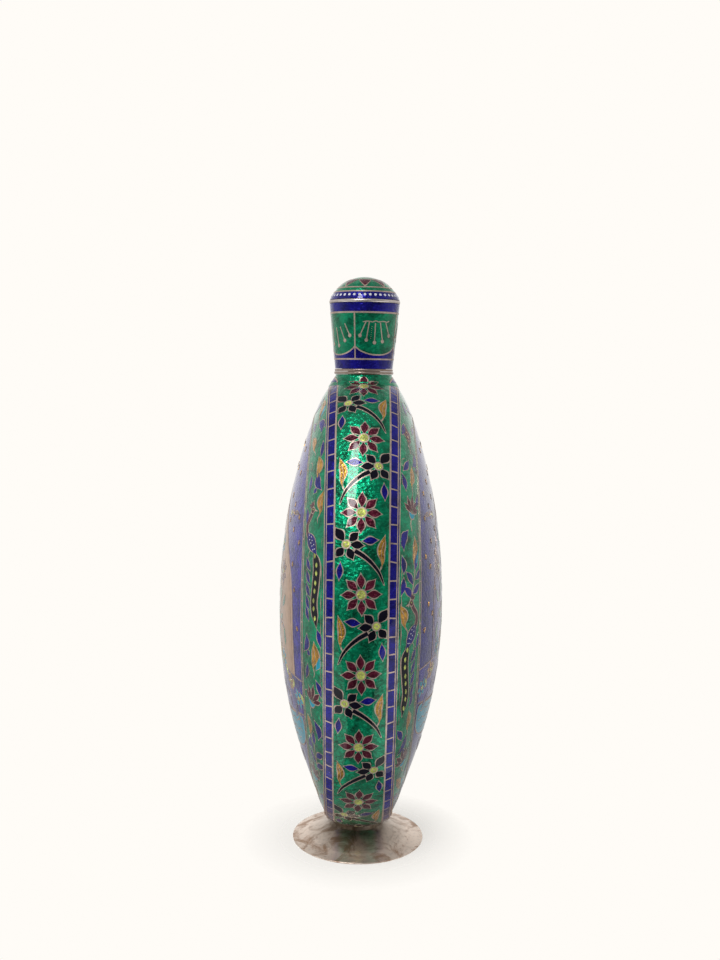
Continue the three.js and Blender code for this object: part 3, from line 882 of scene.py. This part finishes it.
FRONT_OF_LEFT = (
    (11, "blue", -1, -60, 1), (17, "water", 2.2, 24, 1), (22, "leaf", -2.8, -10, 1),
    (26, "blue", 2.4, -20, 1), (31, "gold", -1.8, -10, 1), (36, "leaf", 3.6, 10, 1),
    (38, "curl", -3.2, 0, 1), (42, "gold", 2.4, 8, 1), (47, "blue", 2.6, -8, -1),
    (46, "leaf", -2.6, 16, 1), (54, "gold", 4.0, 8, -1), (65, "peacock", 0, 0, -1),
    (57, "leaf", -3.8, 0, 1), (95, "leaf", 3.8, -14, 1), (98, "blue", -2.6, 12, 1),
    (101, "water", 2.0, 8, 1), (107, "leaf", -2.4, 14, 1), (111, "leaf", 3.6, -24, 1),
    (114, "curl", -3.2, 10, -1), (117, "lotus", 0.2, 10, 1), (126, "blue", 2.6, -22, 1),
    (127, "gold", -2.2, -8, 1), (134, "leaf", -3.0, 20, 1), (137, "sprig", 1.4, 0, -1),
    (149, "lotus", -0.4, -10, 1), (156, "leaf", 3.2, 20, 1), (160, "gold", -1.6, -20, 1),
    (168, "blue", 1.4, 60, 1), (177, "leaf", 0, 80, 1))


# Pieces

def clear_of_collar(made):
    """Opens a flat field where the neck's collar stands, with a round edge."""
    inside = COLLAR - 0.2

    def from_top(vertex):
        along = vertex.co.y
        return Vector((vertex.co.x, along - BAND_LENGTH if along > BAND_LENGTH / 2 else along))

    gone = [face for face in made.faces if all(from_top(vertex).length < inside for vertex in face.verts)]
    bmesh.ops.delete(made, geom=gone, context="FACES")
    for vertex in made.verts:
        place = from_top(vertex)
        if place.length < inside:
            moved = place.normalized() * inside
            vertex.co.x, vertex.co.y = moved.x, vertex.co.y + moved.y - place.y


FIRST_FLOWER = 13.7  # from the top of the band to its first flower
FLOWERS = 8  # on each half of the band


class FLASK_OT_band(bpy.types.Operator):
    """Edge band: green field with flowers between two blue strips"""
    bl_idname = "flask.band"
    bl_label = "Edge band"

    def execute(self, context):
        ground("band_green_field", bend_band, np.linspace(-GREEN_EDGE, GREEN_EDGE, 24), BAND_LINES, "flask",
               "green", ("edge_enamel",), clear_of=clear_of_collar)
        for name, side in (("right", 1), ("left", -1)):
            ground("band_blue_strip_" + name, bend_band, side * np.linspace(GREEN_EDGE, SEAM + 0.03, 5),
                   BAND_LINES, "flask", "blue", clear_of=clear_of_collar)
        bench = Bench(bend_band_and_collar)
        for turn in (1, -1):
            bench.lay = lambda points: points * (turn, -turn)
            self.strips(bench, context.scene.flask_sizes)
            self.flowers(bench, context.scene.flask_sizes)
        bench.lay = None
        self.strips_beside_neck(bench)
        bench.pieces("band", "flask")
        return {"FINISHED"}

    def strips(self, bench, sizes):
        """The wire beside each blue strip and the ticks across it, for one half of the band."""
        half = BAND_LENGTH / 2
        tick = half / round(half / (sizes.tick / MM))
        start = math.sqrt((COLLAR - 0.1) ** 2 - GREEN_EDGE ** 2)
        for side in (-1, 1):
            bench.line([(side * GREEN_EDGE, -s) for s in np.linspace(start, half, 14)], 0.5)
            for k in range(int(half / tick)):
                s = (k + 0.5) * tick
                bench.line([(side * GREEN_EDGE, -s - 0.12 * math.sin(k * 2.3)),
                            (side * BAND_EDGE, -s + 0.16 * math.cos(k * 1.7))], 0.42)

    def flowers(self, bench, sizes):
        """The flowers of one half of the band; what stands between them is mirrored in turn."""
        for k in range(FLOWERS):
            up = -(FIRST_FLOWER + k * sizes.flower_step / MM)
            with bench.at(0.25 * math.sin(k * 2.1), up, 3 * math.sin(k * 1.3)):
                plum_flower(bench, sizes.flower / MM)
            if k < FLOWERS - 1:
                with bench.at(0, up, 0, 1, 1 if k % 2 else -1):
                    band_unit(bench)

    def strips_beside_neck(self, bench):
        """Blue cells and ticks where the two halves of the band meet at the neck."""
        for side in (-1, 1):
            inner, outer = side * (GREEN_EDGE + 0.15), side * BAND_EDGE
            bench.area("blue", [(inner, 7.5), (inner, 0), (inner, -7.5)],
                       [(outer, 7.5), (outer, 0), (outer, -7.5)], 0.05, 20, 6, 0.4)
            for k in range(-3, 4):
                bench.line([(inner, 2.2 * k), (outer, 2.4 * k + 0.3)], 0.36, 0.07)


def squeezed(inward):
    """Keeps distances from a face's edge between the border's two lines, with a soft stop at each."""
    soft = 0.55
    start, end = 0.45 + soft, BORDER / SLANT - 0.25 - soft
    near = start - soft + soft * np.exp(np.minimum(inward - start, 0) / soft)
    far = end + soft - soft * np.exp(np.minimum(end - inward, 0) / soft)
    return np.where(inward < start, near, np.where(inward > end, far, inward))


def border_lay(half):
    """Right and up along a face's border, from the top down one half, into the face's plan."""
    def lay(points):
        across, along = points[:, 0], -points[:, 1]
        edge, out = face_edge(np.interp(along, FACE_RUN, FACE_ANGLE))
        inward = squeezed((BORDER / 2 - half * across) / SLANT)
        return (edge - out * inward[:, None]) * (half, 1)
    return lay


def inner_line(inward, count):
    """Places on a line that runs inside a face's edge at an even distance."""
    edge, out = face_edge(np.linspace(0, 2 * math.pi, count + 1))
    return edge - out * inward / SLANT


def rim_line(distance):
    """Places at an even distance from a face's edge, measured over its slope there."""
    inward = np.linspace(0, 1.2, 61)
    places = []
    for edge, out in zip(*face_edge(FACE_LINES)):
        rise = face_rise(*(edge - out * inward[:, None]).T)
        run = length_along(np.stack([inward, rise], 1))
        places.append(edge - out * np.interp(distance, run, inward))
    return np.array(places)


def face_ground(name, side, start, end, rows, colour, replaced=()):
    """A ring of a face between two distances in from its edge; with no end it reaches the middle."""
    bend = face_bender(side)

    def ring(points):
        edge, out = face_edge(points[:, 0])
        line = points[:, 1:2]
        plan = edge - out * line / SLANT if end else (edge - out * start / SLANT) * line
        return bend(np.column_stack([plan, points[:, 2]]))

    if end:
        lines = start + (end - start) * np.linspace(0, 1, rows + 1) ** 1.3
    else:
        lines = np.linspace(1, 0, rows + 1)
    ground(name, ring, FACE_LINES, lines, "flask", colour, replaced)


def border_motifs(bench, side):
    """Birds, flowers and leaves round a face's border, unlike on its two sides."""
    front, back = (FRONT_OF_RIGHT, FRONT_OF_LEFT) if side > 0 else (FRONT_OF_LEFT, FRONT_OF_RIGHT)
    for half, motifs in ((-side, front), (side, back)):
        bench.lay = border_lay(half)
        for along, motif, right, turn, flip in motifs:
            with bench.at(right, -along, turn, 1, flip):
                MOTIFS[motif](bench)


def ground_and_water(bench):
    """A bed of flowers, leafy ground, a pool and leaves under it."""
    bench.area("violet", [(-33.6, -17.6), (-16, -16.6), (0, -16), (16, -16.6), (33.6, -17.6)],
               [(-30.9, -29), (-15, -31), (0, -31.6), (15, -31), (30.9, -29)], 0.05, 72, 18)
    for k in range(-5, 6):
        with bench.at(k * 5.9, -10.2 - 0.02 * (k * 5.6) ** 2 + 1.6 * (k % 2), 20 * k):
            rosette(bench, "turquoise" if k % 2 else "gold", 6, 3.1, 1.4)
        with bench.at(k * 5.9 + 2.7, -14.2 - 0.012 * (k * 5.6) ** 2, 30 * (-1) ** k):
            bench.leaf("lime", 1.9, 1.5, 0.2, 0.3, 0.03)
    for k in range(-4, 5):
        with bench.at(k * 6.2, -23.4 - 0.012 * (k * 5.6) ** 2, 36 * (-1) ** k):
            bench.leaf("blue", 3.0, 1.8, 0.4, 0.32, 0.04)
            bench.line([(1.2, -3.0), (2.4, -0.6), (2.2, 2.0)], 0.3, PLATE + 0.04)
    # The pool and its waves
    bench.area("turquoise", [(-29.6, -32.5), (-28.6, -30), (-15, -31.6), (0, -32.2), (15, -31.6),
                             (28.6, -30), (29.6, -32.5)],
               [(-29.6, -32.8), (-28, -37.4), (-22.5, -41.4), (-11, -43.6), (0, -44.2), (11, -43.6),
                (22.5, -41.4), (28, -37.4), (29.6, -32.8)], 0.06, 72, 18)
    for k, width in enumerate((27.5, 26.5, 22.5)):
        wave = [(x, -34.4 - 3.0 * k + 0.0028 * x * x + 0.5 * math.sin(x * 1.05 + k))
                for x in np.linspace(-width, width, 34)]
        bench.line(wave, 0.3, 0.095)
    for k in range(-3, 4):
        with bench.at(k * 5.2, -50.0 + 0.012 * (k * 5.2) ** 2, 12 * k):
            bench.leaf("violet" if k % 2 else "green", 3.0, 2.0, 0.4, 0.32, 0.03)


# Leaves of one half of the plant: millimetres to the side and up, and degrees of turn
PLANT_LEAVES = ((4.4, 5.8, 70), (9.8, 10.2, 20), (9.2, 16.2, -30), (15.0, 15.4, 60), (19.2, 21.6, 40),
                (13.4, 23.0, -30), (4.2, 21.4, 60), (8.6, 26.6, 70), (5.0, 31.0, -20), (2.8, 13.6, 24),
                (2.6, 34.0, 30), (20.4, 10.2, -16))


def plant(bench):
    """A tall plant with two pairs of branches and five round flowers."""
    bench.line([(0, 0), (0.6, 14), (-0.4, 28), (0, 42)], 0.7, PLATE + 0.03)
    for side in (-1, 1):
        bench.line([(0, 5), (side * 8, 12), (side * 15.5, 20), (side * 16.4, 28)], 0.5, PLATE + 0.03)
        bench.line([(0, 20), (side * 5, 27), (side * 9.6, 31), (side * 10.4, 36)], 0.5, PLATE + 0.03)
        for right, up, turn in PLANT_LEAVES:
            with bench.at(side * right, up, side * turn, 1, side):
                bench.leaf("green", 2.9, 2.1, 0.4, 0.34, 0.03)
        with bench.at(side * 16.4, 30.5, side * 8):
            rosette(bench, "plum", 7, 4.2, 1.7)
        with bench.at(side * 10.4, 38.6, side * 8):
            rosette(bench, "turquoise", 6, 3.4, 1.5)
    with bench.at(0, 46.0):
        rosette(bench, "plum", 10, 5.4, 1.6)


def picture(bench, field, wide, raised):
    """A wide niche with a flowering plant, a bed of flowers at its foot and water below."""
    arch = [(-24.0 * wide, raised - 17), (-24.6 * wide, raised - 4), (-22.5 * wide, 12), (-16.0, 26),
            (-8.0, 33), (0, 40)]
    bench.area(field, arch, [(-x, y) for x, y in arch], 0.045, 64, 48, 0.55)
    for side in (1, -1):
        bench.line([(side * x * 0.94, y * 0.955) for x, y in arch], 0.3, 0.075)
    for row in range(9):
        for k in range(-5, 6):
            right = k * 6.6 + (3.3 if row % 2 else 0)
            up = 54 - row * 7.4 - 0.01 * (k * 6.6) ** 2
            outside = up >= 43 or abs(right) > 26.5 * wide - 0.45 * max(0, up + 4)
            if outside and up > raised - 6 and (right / 35.3) ** 2 + (up / 61.0) ** 2 < 0.9:
                with bench.at(right, up, 17 * k + 9 * row):
                    star(bench)
    with bench.at(0, raised, 0, 1, 1 + 0.006 * raised):
        ground_and_water(bench)
    with bench.at(0, raised / 2 - 17.0):
        plant(bench)
    for side in (-1, 1):
        with bench.at(side * 13.5, raised - 3.0, side * -12, 1.0, side):
            small_bird(bench)
        with bench.at(side * 19.5, 32.5, side * -30, 0.8, side):
            small_bird(bench)


# Each face: its side, the colour of its niche, how wide the niche is, the colour beside it, and how far
# the lower part of its picture is raised, in millimetres
FACES = {"right": (1, "violet", 1.02, "blue", 4.3), "left": (-1, "sand", 1.2, "violet", 0)}


class FLASK_OT_faces(bpy.types.Operator):
    """The two domed faces: border with birds and flowers, narrow strip and picture"""
    bl_idname = "flask.faces"
    bl_label = "Faces"

    def execute(self, context):
        for name, (side, field, wide, beside, raised) in FACES.items():
            face_ground("border_field_" + name, side, 0.0, BORDER, 22, "green", ("face_enamel_" + name,))
            face_ground("lace_field_" + name, side, BORDER, BORDER + LACE, 2, "green")
            face_ground("picture_field_" + name, side, BORDER + LACE, None, 30, beside)
            bench = Bench(face_bender(side))
            bench.area("wire", rim_line(0.12), rim_line(0.46), PLATE, 360, 1, wire=0)
            self.lace(bench)
            border_motifs(bench, side)
            bench.lay = None
            picture(bench, field, wide, raised)
            bench.pieces("face_" + name, "flask")
            self.seam(name, side)
        return {"FINISHED"}

    def lace(self, bench):
        """The two lines of the narrow strip and the short wires between them."""
        for inward in (BORDER, BORDER + LACE):
            bench.line(inner_line(inward, 96), 0.42)
        count = round(FACE_LENGTH * LACE_RUN / LACE_STEP)
        outer, inner = inner_line(BORDER, count), inner_line(BORDER + LACE, count)
        for ends in zip(outer[:-1], inner[:-1]):
            bench.line(ends, 0.36)

    def seam(self, name, side):
        """The silver line between band and face."""
        ground("seam_wire_" + name, lambda points: bend_band(points + (0, 0, 0.07)),
               side * np.linspace(BAND_EDGE, BAND_EDGE + 0.27, 3), BAND_LINES, "flask", "wire",
               ("seam_strip_" + name,), thick=0.5 * MM)


class FLASK_OT_foot(bpy.types.Operator):
    """Spun silver foot"""
    bl_idname = "flask.foot"
    bl_label = "Foot"

    def execute(self, context):
        sheet = 0.5
        inside = FOOT_RADIUS - 3.7  # where the flange ends
        flange_top, step = sheet + 0.6, 0.35
        hub, hub_wall, hub_low, hub_high = 8.6, 1.4, 5.4, 8.1
        cone = line_through([(inside - step, flange_top + step), ((inside + hub) / 2, 2.95),
                             (hub + 0.6, 4.8), (hub, hub_low)], 14)[0]
        soft = sheet / 2
        lip = [(FOOT_RADIUS - soft + soft * math.cos(a), soft + soft * math.sin(a))
               for a in np.linspace(-math.pi / 2, math.pi / 2, 7)]
        below = [(radius - sheet * 0.45, height - sheet) for radius, height in cone[-2:0:-1]]
        turned("foot", [*lip, (inside + 0.1, flange_top), *cone,
                        (hub, hub_high), (hub - hub_wall, hub_high), (hub - hub_wall, hub_low - sheet),
                        *below, (inside, 0.0)], "flask", "foot", ("foot_plate",), 160)
        return {"FINISHED"}


class FLASK_OT_neck(bpy.types.Operator):
    """Green collar and the silver rim over it"""
    bl_idname = "flask.neck"
    bl_label = "Neck"

    def execute(self, context):
        inside = COLLAR - 0.35
        turned("collar_green", [(inside, COLLAR_TOP), (COLLAR, COLLAR_TOP), *collar_flare(),
                                (inside, COLLAR_TOP - 4.1)], "flask", "green", ("neck_enamel",))
        turned("neck_ring", rounded_band(6.0, RIM_HIGH[0], RIM_LOW[2], RIM_HIGH[2] + 0.05, 0.25),
               "flask", "rim", ("neck_rim",))
        return {"FINISHED"}


FOOT_LINE, TOP_LINE = 3.75, 18.55  # heights of the two lines round the cap
WALLS = (-17, 68, 135, 201, 268, 343)  # walls between the cap's panels, in degrees round it
LEFT_PANEL = 4  # the one that shows on the left from the front

# Pins of a cap panel: the head's place across the panel, as a share of its width, and the head's height,
# then the same for the ball at the pin's foot
PINS = ((-0.27, 15.6, -0.39, 11.2), (-0.205, 15.5, -0.26, 9.8), (-0.08, 15.2, -0.085, 9.0),
        (0.025, 15.3, 0.10, 9.4), (0.155, 15.3, 0.265, 11.2))
PINS_LEFT = ((0.25, 15.0, 0.375, 11.2), (0.11, 14.0, 0.235, 9.6), (-0.03, 13.8, 0.03, 8.0),
             (-0.2, 13.6, -0.22, 8.6))


class FLASK_OT_cap(bpy.types.Operator):
    """Cap wall: blue bands, green scalloped panels with pins, and the silver rings"""
    bl_idname = "flask.cap_wall"
    bl_label = "Cap wall"

    def execute(self, context):
        full = 2 * math.pi * CAP_MIDDLE
        for name, low, high, colour, replaced in (
                ("cap_blue_foot", 0.7, FOOT_LINE, "blue", ("cap_wall_enamel",)),
                ("cap_blue_spandrels", FOOT_LINE, 9.4, "blue", ()),
                ("cap_green_field", 9.4, TOP_LINE, "deep_green", ()),
                ("cap_blue_top", TOP_LINE, 21.55, "blue", ())):
            ground(name, bend_cap, np.linspace(0, full, 129), np.linspace(low, high, 7), "cap", colour,
                   replaced)
        bench = Bench(bend_cap)
        for level, width in ((FOOT_LINE, 0.5), (TOP_LINE, 0.55)):
            bench.line([(x, level) for x in np.linspace(0, full, 65)], width)
        walls = [math.radians(angle) * CAP_MIDDLE for angle in WALLS]
        for panel, (left, right) in enumerate(zip(walls, walls[1:])):
            self.panel(bench, left, right, panel == LEFT_PANEL)
        bench.pieces("cap", "cap")
        turned("cap_mouth_bead",
               rounded_band(8.0, MOUTH_HIGH[0] + 0.1, MOUTH_LOW[2] - 0.15, MOUTH_HIGH[2], 0.2),
               "cap", "rim", ("cap_mouth_ring",))
        turned("cap_shoulder_bead",
               rounded_band(10.0, SHOULDER_HIGH[0] + 0.12, SHOULDER_LOW[2], SHOULDER_HIGH[2], 0.5),
               "cap", "ring", ("cap_shoulder_ring",))
        return {"FINISHED"}

    def panel(self, bench, left, right, on_the_left):
        """A scalloped panel with its pins; all but the left one have a wavy line and a row of beads."""
        wide, middle = right - left, (left + right) / 2
        scallop = [(left, 7.8), (left + wide * 0.12, 6.4), (left + wide * 0.3, 5.4), (middle, 5.1),
                   (right - wide * 0.3, 5.4), (right - wide * 0.12, 6.4), (right, 7.8)]
        bench.area("deep_green", [(x, 9.7) for x, _ in scallop], scallop, 0.02, 24, 5, wire=0)
        bench.line(scallop, 0.44)
        bench.line([(left, 18.5), (left, 3.8)], 0.44, PLATE + 0.01)
        for head, high, ball, low in PINS_LEFT if on_the_left else PINS:
            bench.line([(middle + head * wide, high), (middle + ball * wide, low)], 0.34, PLATE + 0.02)
            bench.dot("wire", middle + ball * wide, low, 0.6, CELL + 0.02, 10)
        if on_the_left:
            return
        for k in range(7):
            bench.dot("wire", middle - (0.15 + 0.003 * k) * wide, 14.0 - 0.62 * k, 0.11, CELL, 6)
        bench.line([(middle + share * wide, 15.65 + 0.22 * math.sin(share * 60))
                    for share in np.linspace(-0.33, 0.24, 19)], 0.34, PLATE + 0.03)


class FLASK_OT_dome(bpy.types.Operator):
    """Cap dome: star on green, thin ring and blue band with white dots"""
    bl_idname = "flask.cap_dome"
    bl_label = "Cap dome"

    def execute(self, context):
        for name, start, end, lines, colour, replaced in (
                ("dome_blue_band", RING_END, BLUE_END, 7, "blue", ("cap_dome_enamel",)),
                ("dome_green_ring", CROWN_END, RING_END, 5, "green", ()),
                ("dome_green_crown", 0, CROWN_END, 15, "green", ())):
            ground(name, bend_dome, np.linspace(0, 360, 129), np.linspace(start, end, lines), "cap",
                   colour, replaced)
        bench = Bench(bend_dome)
        mesh, along, across = grid(96, 1)
        for fall in (CROWN_END, RING_END):
            bench.draw("wire", mesh, np.stack([along * 360, fall + across * 1.15], 1), PLATE)
        for turn in range(0, 360, 45):
            self.triangle(bench, "wire", turn, 23.0, 45.8, 23.5, PLATE)
            self.triangle(bench, "plum", turn, 25.6, 42.3, 19.5, CELL)
        mesh, places = disc(8)
        spot = places * math.degrees(0.46 / DOME) * (1 / math.sin(math.radians(DOTS)), 1)
        for turn in range(0, 360, 9):
            bench.draw("white", mesh, spot + (turn, DOTS), CELL)
        bench.pieces("dome", "cap")
        return {"FINISHED"}

    def triangle(self, bench, colour, turn, inner, outer, half, lift):
        """A ray of the star, wide towards the pole and pointed outwards, in degrees over the dome."""
        mesh, along, across = grid(8, 4)
        fall = inner + (outer - inner) * along
        bench.draw(colour, mesh, np.stack([turn + across * half * (1 - along), fall], 1), lift)


FINISHES = {"inside": ("edge_strip", "face_plate_right", "face_plate_left", "neck_tube", "neck_collar",
                       "cap_wall", "cap_dome", "cap_sleeve"),
            "cork": ("cork_liner",)}


class FLASK_OT_plain(bpy.types.Operator):
    """Finishes of the silver under the enamel, the neck tube, the cap's sleeve and the cork"""
    bl_idname = "flask.plain_parts"
    bl_label = "Plain parts"

    def execute(self, context):
        for colour, nodes in FINISHES.items():
            for node in nodes:
                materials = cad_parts[node].data.materials
                materials.clear()
                materials.append(paint(colour))
        return {"FINISHED"}


# Stage

FLOOR_RADIUS = 0.16
# Light of the room by direction: from the camera's side (-1) to behind the flask (1), and from below to
# overhead
ROOM_DEPTH = (-1.0, 0.06), (-0.7, 0.09), (-0.35, 0.4), (-0.05, 0.65), (0.3, 0.55), (0.7, 0.6), (1.0, 0.95)
ROOM_HEIGHT = (-1.0, 0.3), (-0.75, 0.45), (-0.3, 0.66), (-0.08, 0.9), (0.1, 1.1), (0.45, 1.0), (0.95, 0.4)
# Lamps: watts, width and height, place and what they aim at
LAMPS = {"key_lamp": (11.5, 0.34, 1.0, (-0.34, -0.90, 1.06), (0, 0, 0.11)),
         "right_lamp": (3.6, 1.3, 1.3, (0.86, -0.55, -0.66), (0, 0, 0.04)),
         "left_lamp": (4.0, 1.4, 1.4, (-0.88, -0.52, -0.68), (0, 0, 0.04))}
CAMERA_PLACE = (-0.0008, -0.3533, 0.1585)
CAMERA_FALL, CAMERA_ROLL = 5.81, 0.74  # degrees down from level, and degrees about its line of sight


def floor_material():
    """Pale matt floor that fades out away from the flask."""
    shade = Shade("pale_floor")
    body = shade.ramp(shade.noise(6, 3), (0.3, (0.93, 0.90, 0.86)), (0.7, (0.96, 0.93, 0.89)))
    fade = shade.ramp(shade.maths(shade.length(shade.place), 10.0, "MULTIPLY"), (0.20, 0.6), (0.40, 1.0))
    shade.mix_surfaces(fade, shade.gloss, shade.node("ShaderNodeBsdfTransparent"))
    return shade.settle(base_color=body, roughness=0.9)


def studio_world():
    """White room, dark on the camera's side and overhead; plain white behind for the camera."""
    world = bpy.data.worlds.new("studio")
    bpy.context.scene.world = world
    graph = Graph(world, "ShaderNodeOutputWorld")
    place = graph.node("ShaderNodeTexCoord").outputs["Generated"]
    split = graph.node("ShaderNodeSeparateXYZ", {0: place})
    strengths = []
    for axis, marks in (("Y", ROOM_DEPTH), ("Z", ROOM_HEIGHT)):
        share = graph.node("ShaderNodeMapRange", {
            "Value": split.outputs[axis], "From Min": -1.0, "From Max": 1.0}).outputs[0]
        strengths.append(graph.ramp(share, *(((at + 1) / 2, strength) for at, strength in marks)))
    light = graph.node("ShaderNodeBackground", {
        "Color": (1.0, 0.985, 0.97, 1), "Strength": graph.maths(*strengths, "MULTIPLY")})
    plain = graph.node("ShaderNodeBackground", {"Color": (1.0, 0.973, 0.93, 1), "Strength": 1.0})
    graph.mix_surfaces(graph.node("ShaderNodeLightPath").outputs["Is Camera Ray"], light, plain)


def lamp(name, power, wide, tall, place, aim):
    """An oval lamp that faces a place."""
    data = bpy.data.lights.new(name, "AREA")
    data.shape, data.size, data.size_y, data.energy = "ELLIPSE", wide, tall, power
    made = placed(name, data)
    made.location = place
    made.rotation_euler = (Vector(aim) - Vector(place)).to_track_quat("-Z", "Y").to_euler()


class FLASK_OT_stage(bpy.types.Operator):
    """Camera, floor, room and lamps"""
    bl_idname = "flask.stage"
    bl_label = "Stage"

    def execute(self, context):
        context.scene.view_settings.view_transform = "Standard"
        made = bmesh.new()
        bmesh.ops.create_circle(made, cap_ends=True, segments=64, radius=FLOOR_RADIUS)
        floor = placed("floor", mesh_of(made, "floor"))
        floor.data.materials.append(floor_material())
        studio_world()
        for name, values in LAMPS.items():
            lamp(name, *values)
        camera = placed("camera", bpy.data.cameras.new("camera"))
        camera.data.sensor_width, camera.data.lens = 36.0, 40.125
        camera.data.clip_start, camera.data.clip_end = 0.01, 20.0
        camera.matrix_world = (Matrix.Translation(CAMERA_PLACE)
                               @ Matrix.Rotation(math.radians(90 - CAMERA_FALL), 4, "X")
                               @ Matrix.Rotation(math.radians(CAMERA_ROLL), 4, "Z"))
        context.scene.camera = camera
        return {"FINISHED"}


OPERATORS = (FLASK_OT_foot, FLASK_OT_band, FLASK_OT_faces, FLASK_OT_neck, FLASK_OT_cap, FLASK_OT_dome,
             FLASK_OT_plain, FLASK_OT_stage)


class FLASK_PT_panel(bpy.types.Panel):
    """Lists the flask's pieces, sizes and colours"""
    bl_idname = "FLASK_PT_panel"
    bl_label = "Enamelled flask"
    bl_space_type = "VIEW_3D"
    bl_region_type = "UI"
    bl_category = "Flask"

    def draw(self, context):
        for operator in OPERATORS:
            self.layout.operator(operator.bl_idname)
        for group in (context.scene.flask_sizes, context.scene.flask_colours):
            for name in group.bl_rna.properties.keys():
                if name not in ("rna_type", "name"):
                    self.layout.prop(group, name)


CLASSES = (FlaskSizes, FlaskColours, *OPERATORS, FLASK_PT_panel)


def register():
    for made in CLASSES:
        bpy.utils.register_class(made)
    bpy.types.Scene.flask_sizes = PointerProperty(type=FlaskSizes)
    bpy.types.Scene.flask_colours = PointerProperty(type=FlaskColours)


def unregister():
    del bpy.types.Scene.flask_colours
    del bpy.types.Scene.flask_sizes
    for made in reversed(CLASSES):
        bpy.utils.unregister_class(made)


def main():
    register()
    bpy.ops.flask.foot()
    bpy.ops.flask.band()
    bpy.ops.flask.faces()
    bpy.ops.flask.neck()
    bpy.ops.flask.cap_wall()
    bpy.ops.flask.cap_dome()
    bpy.ops.flask.plain_parts()
    bpy.ops.flask.stage()
    for mesh in [made for made in bpy.data.meshes if not made.users]:
        bpy.data.meshes.remove(mesh)


if __name__ == "__main__":
    main()
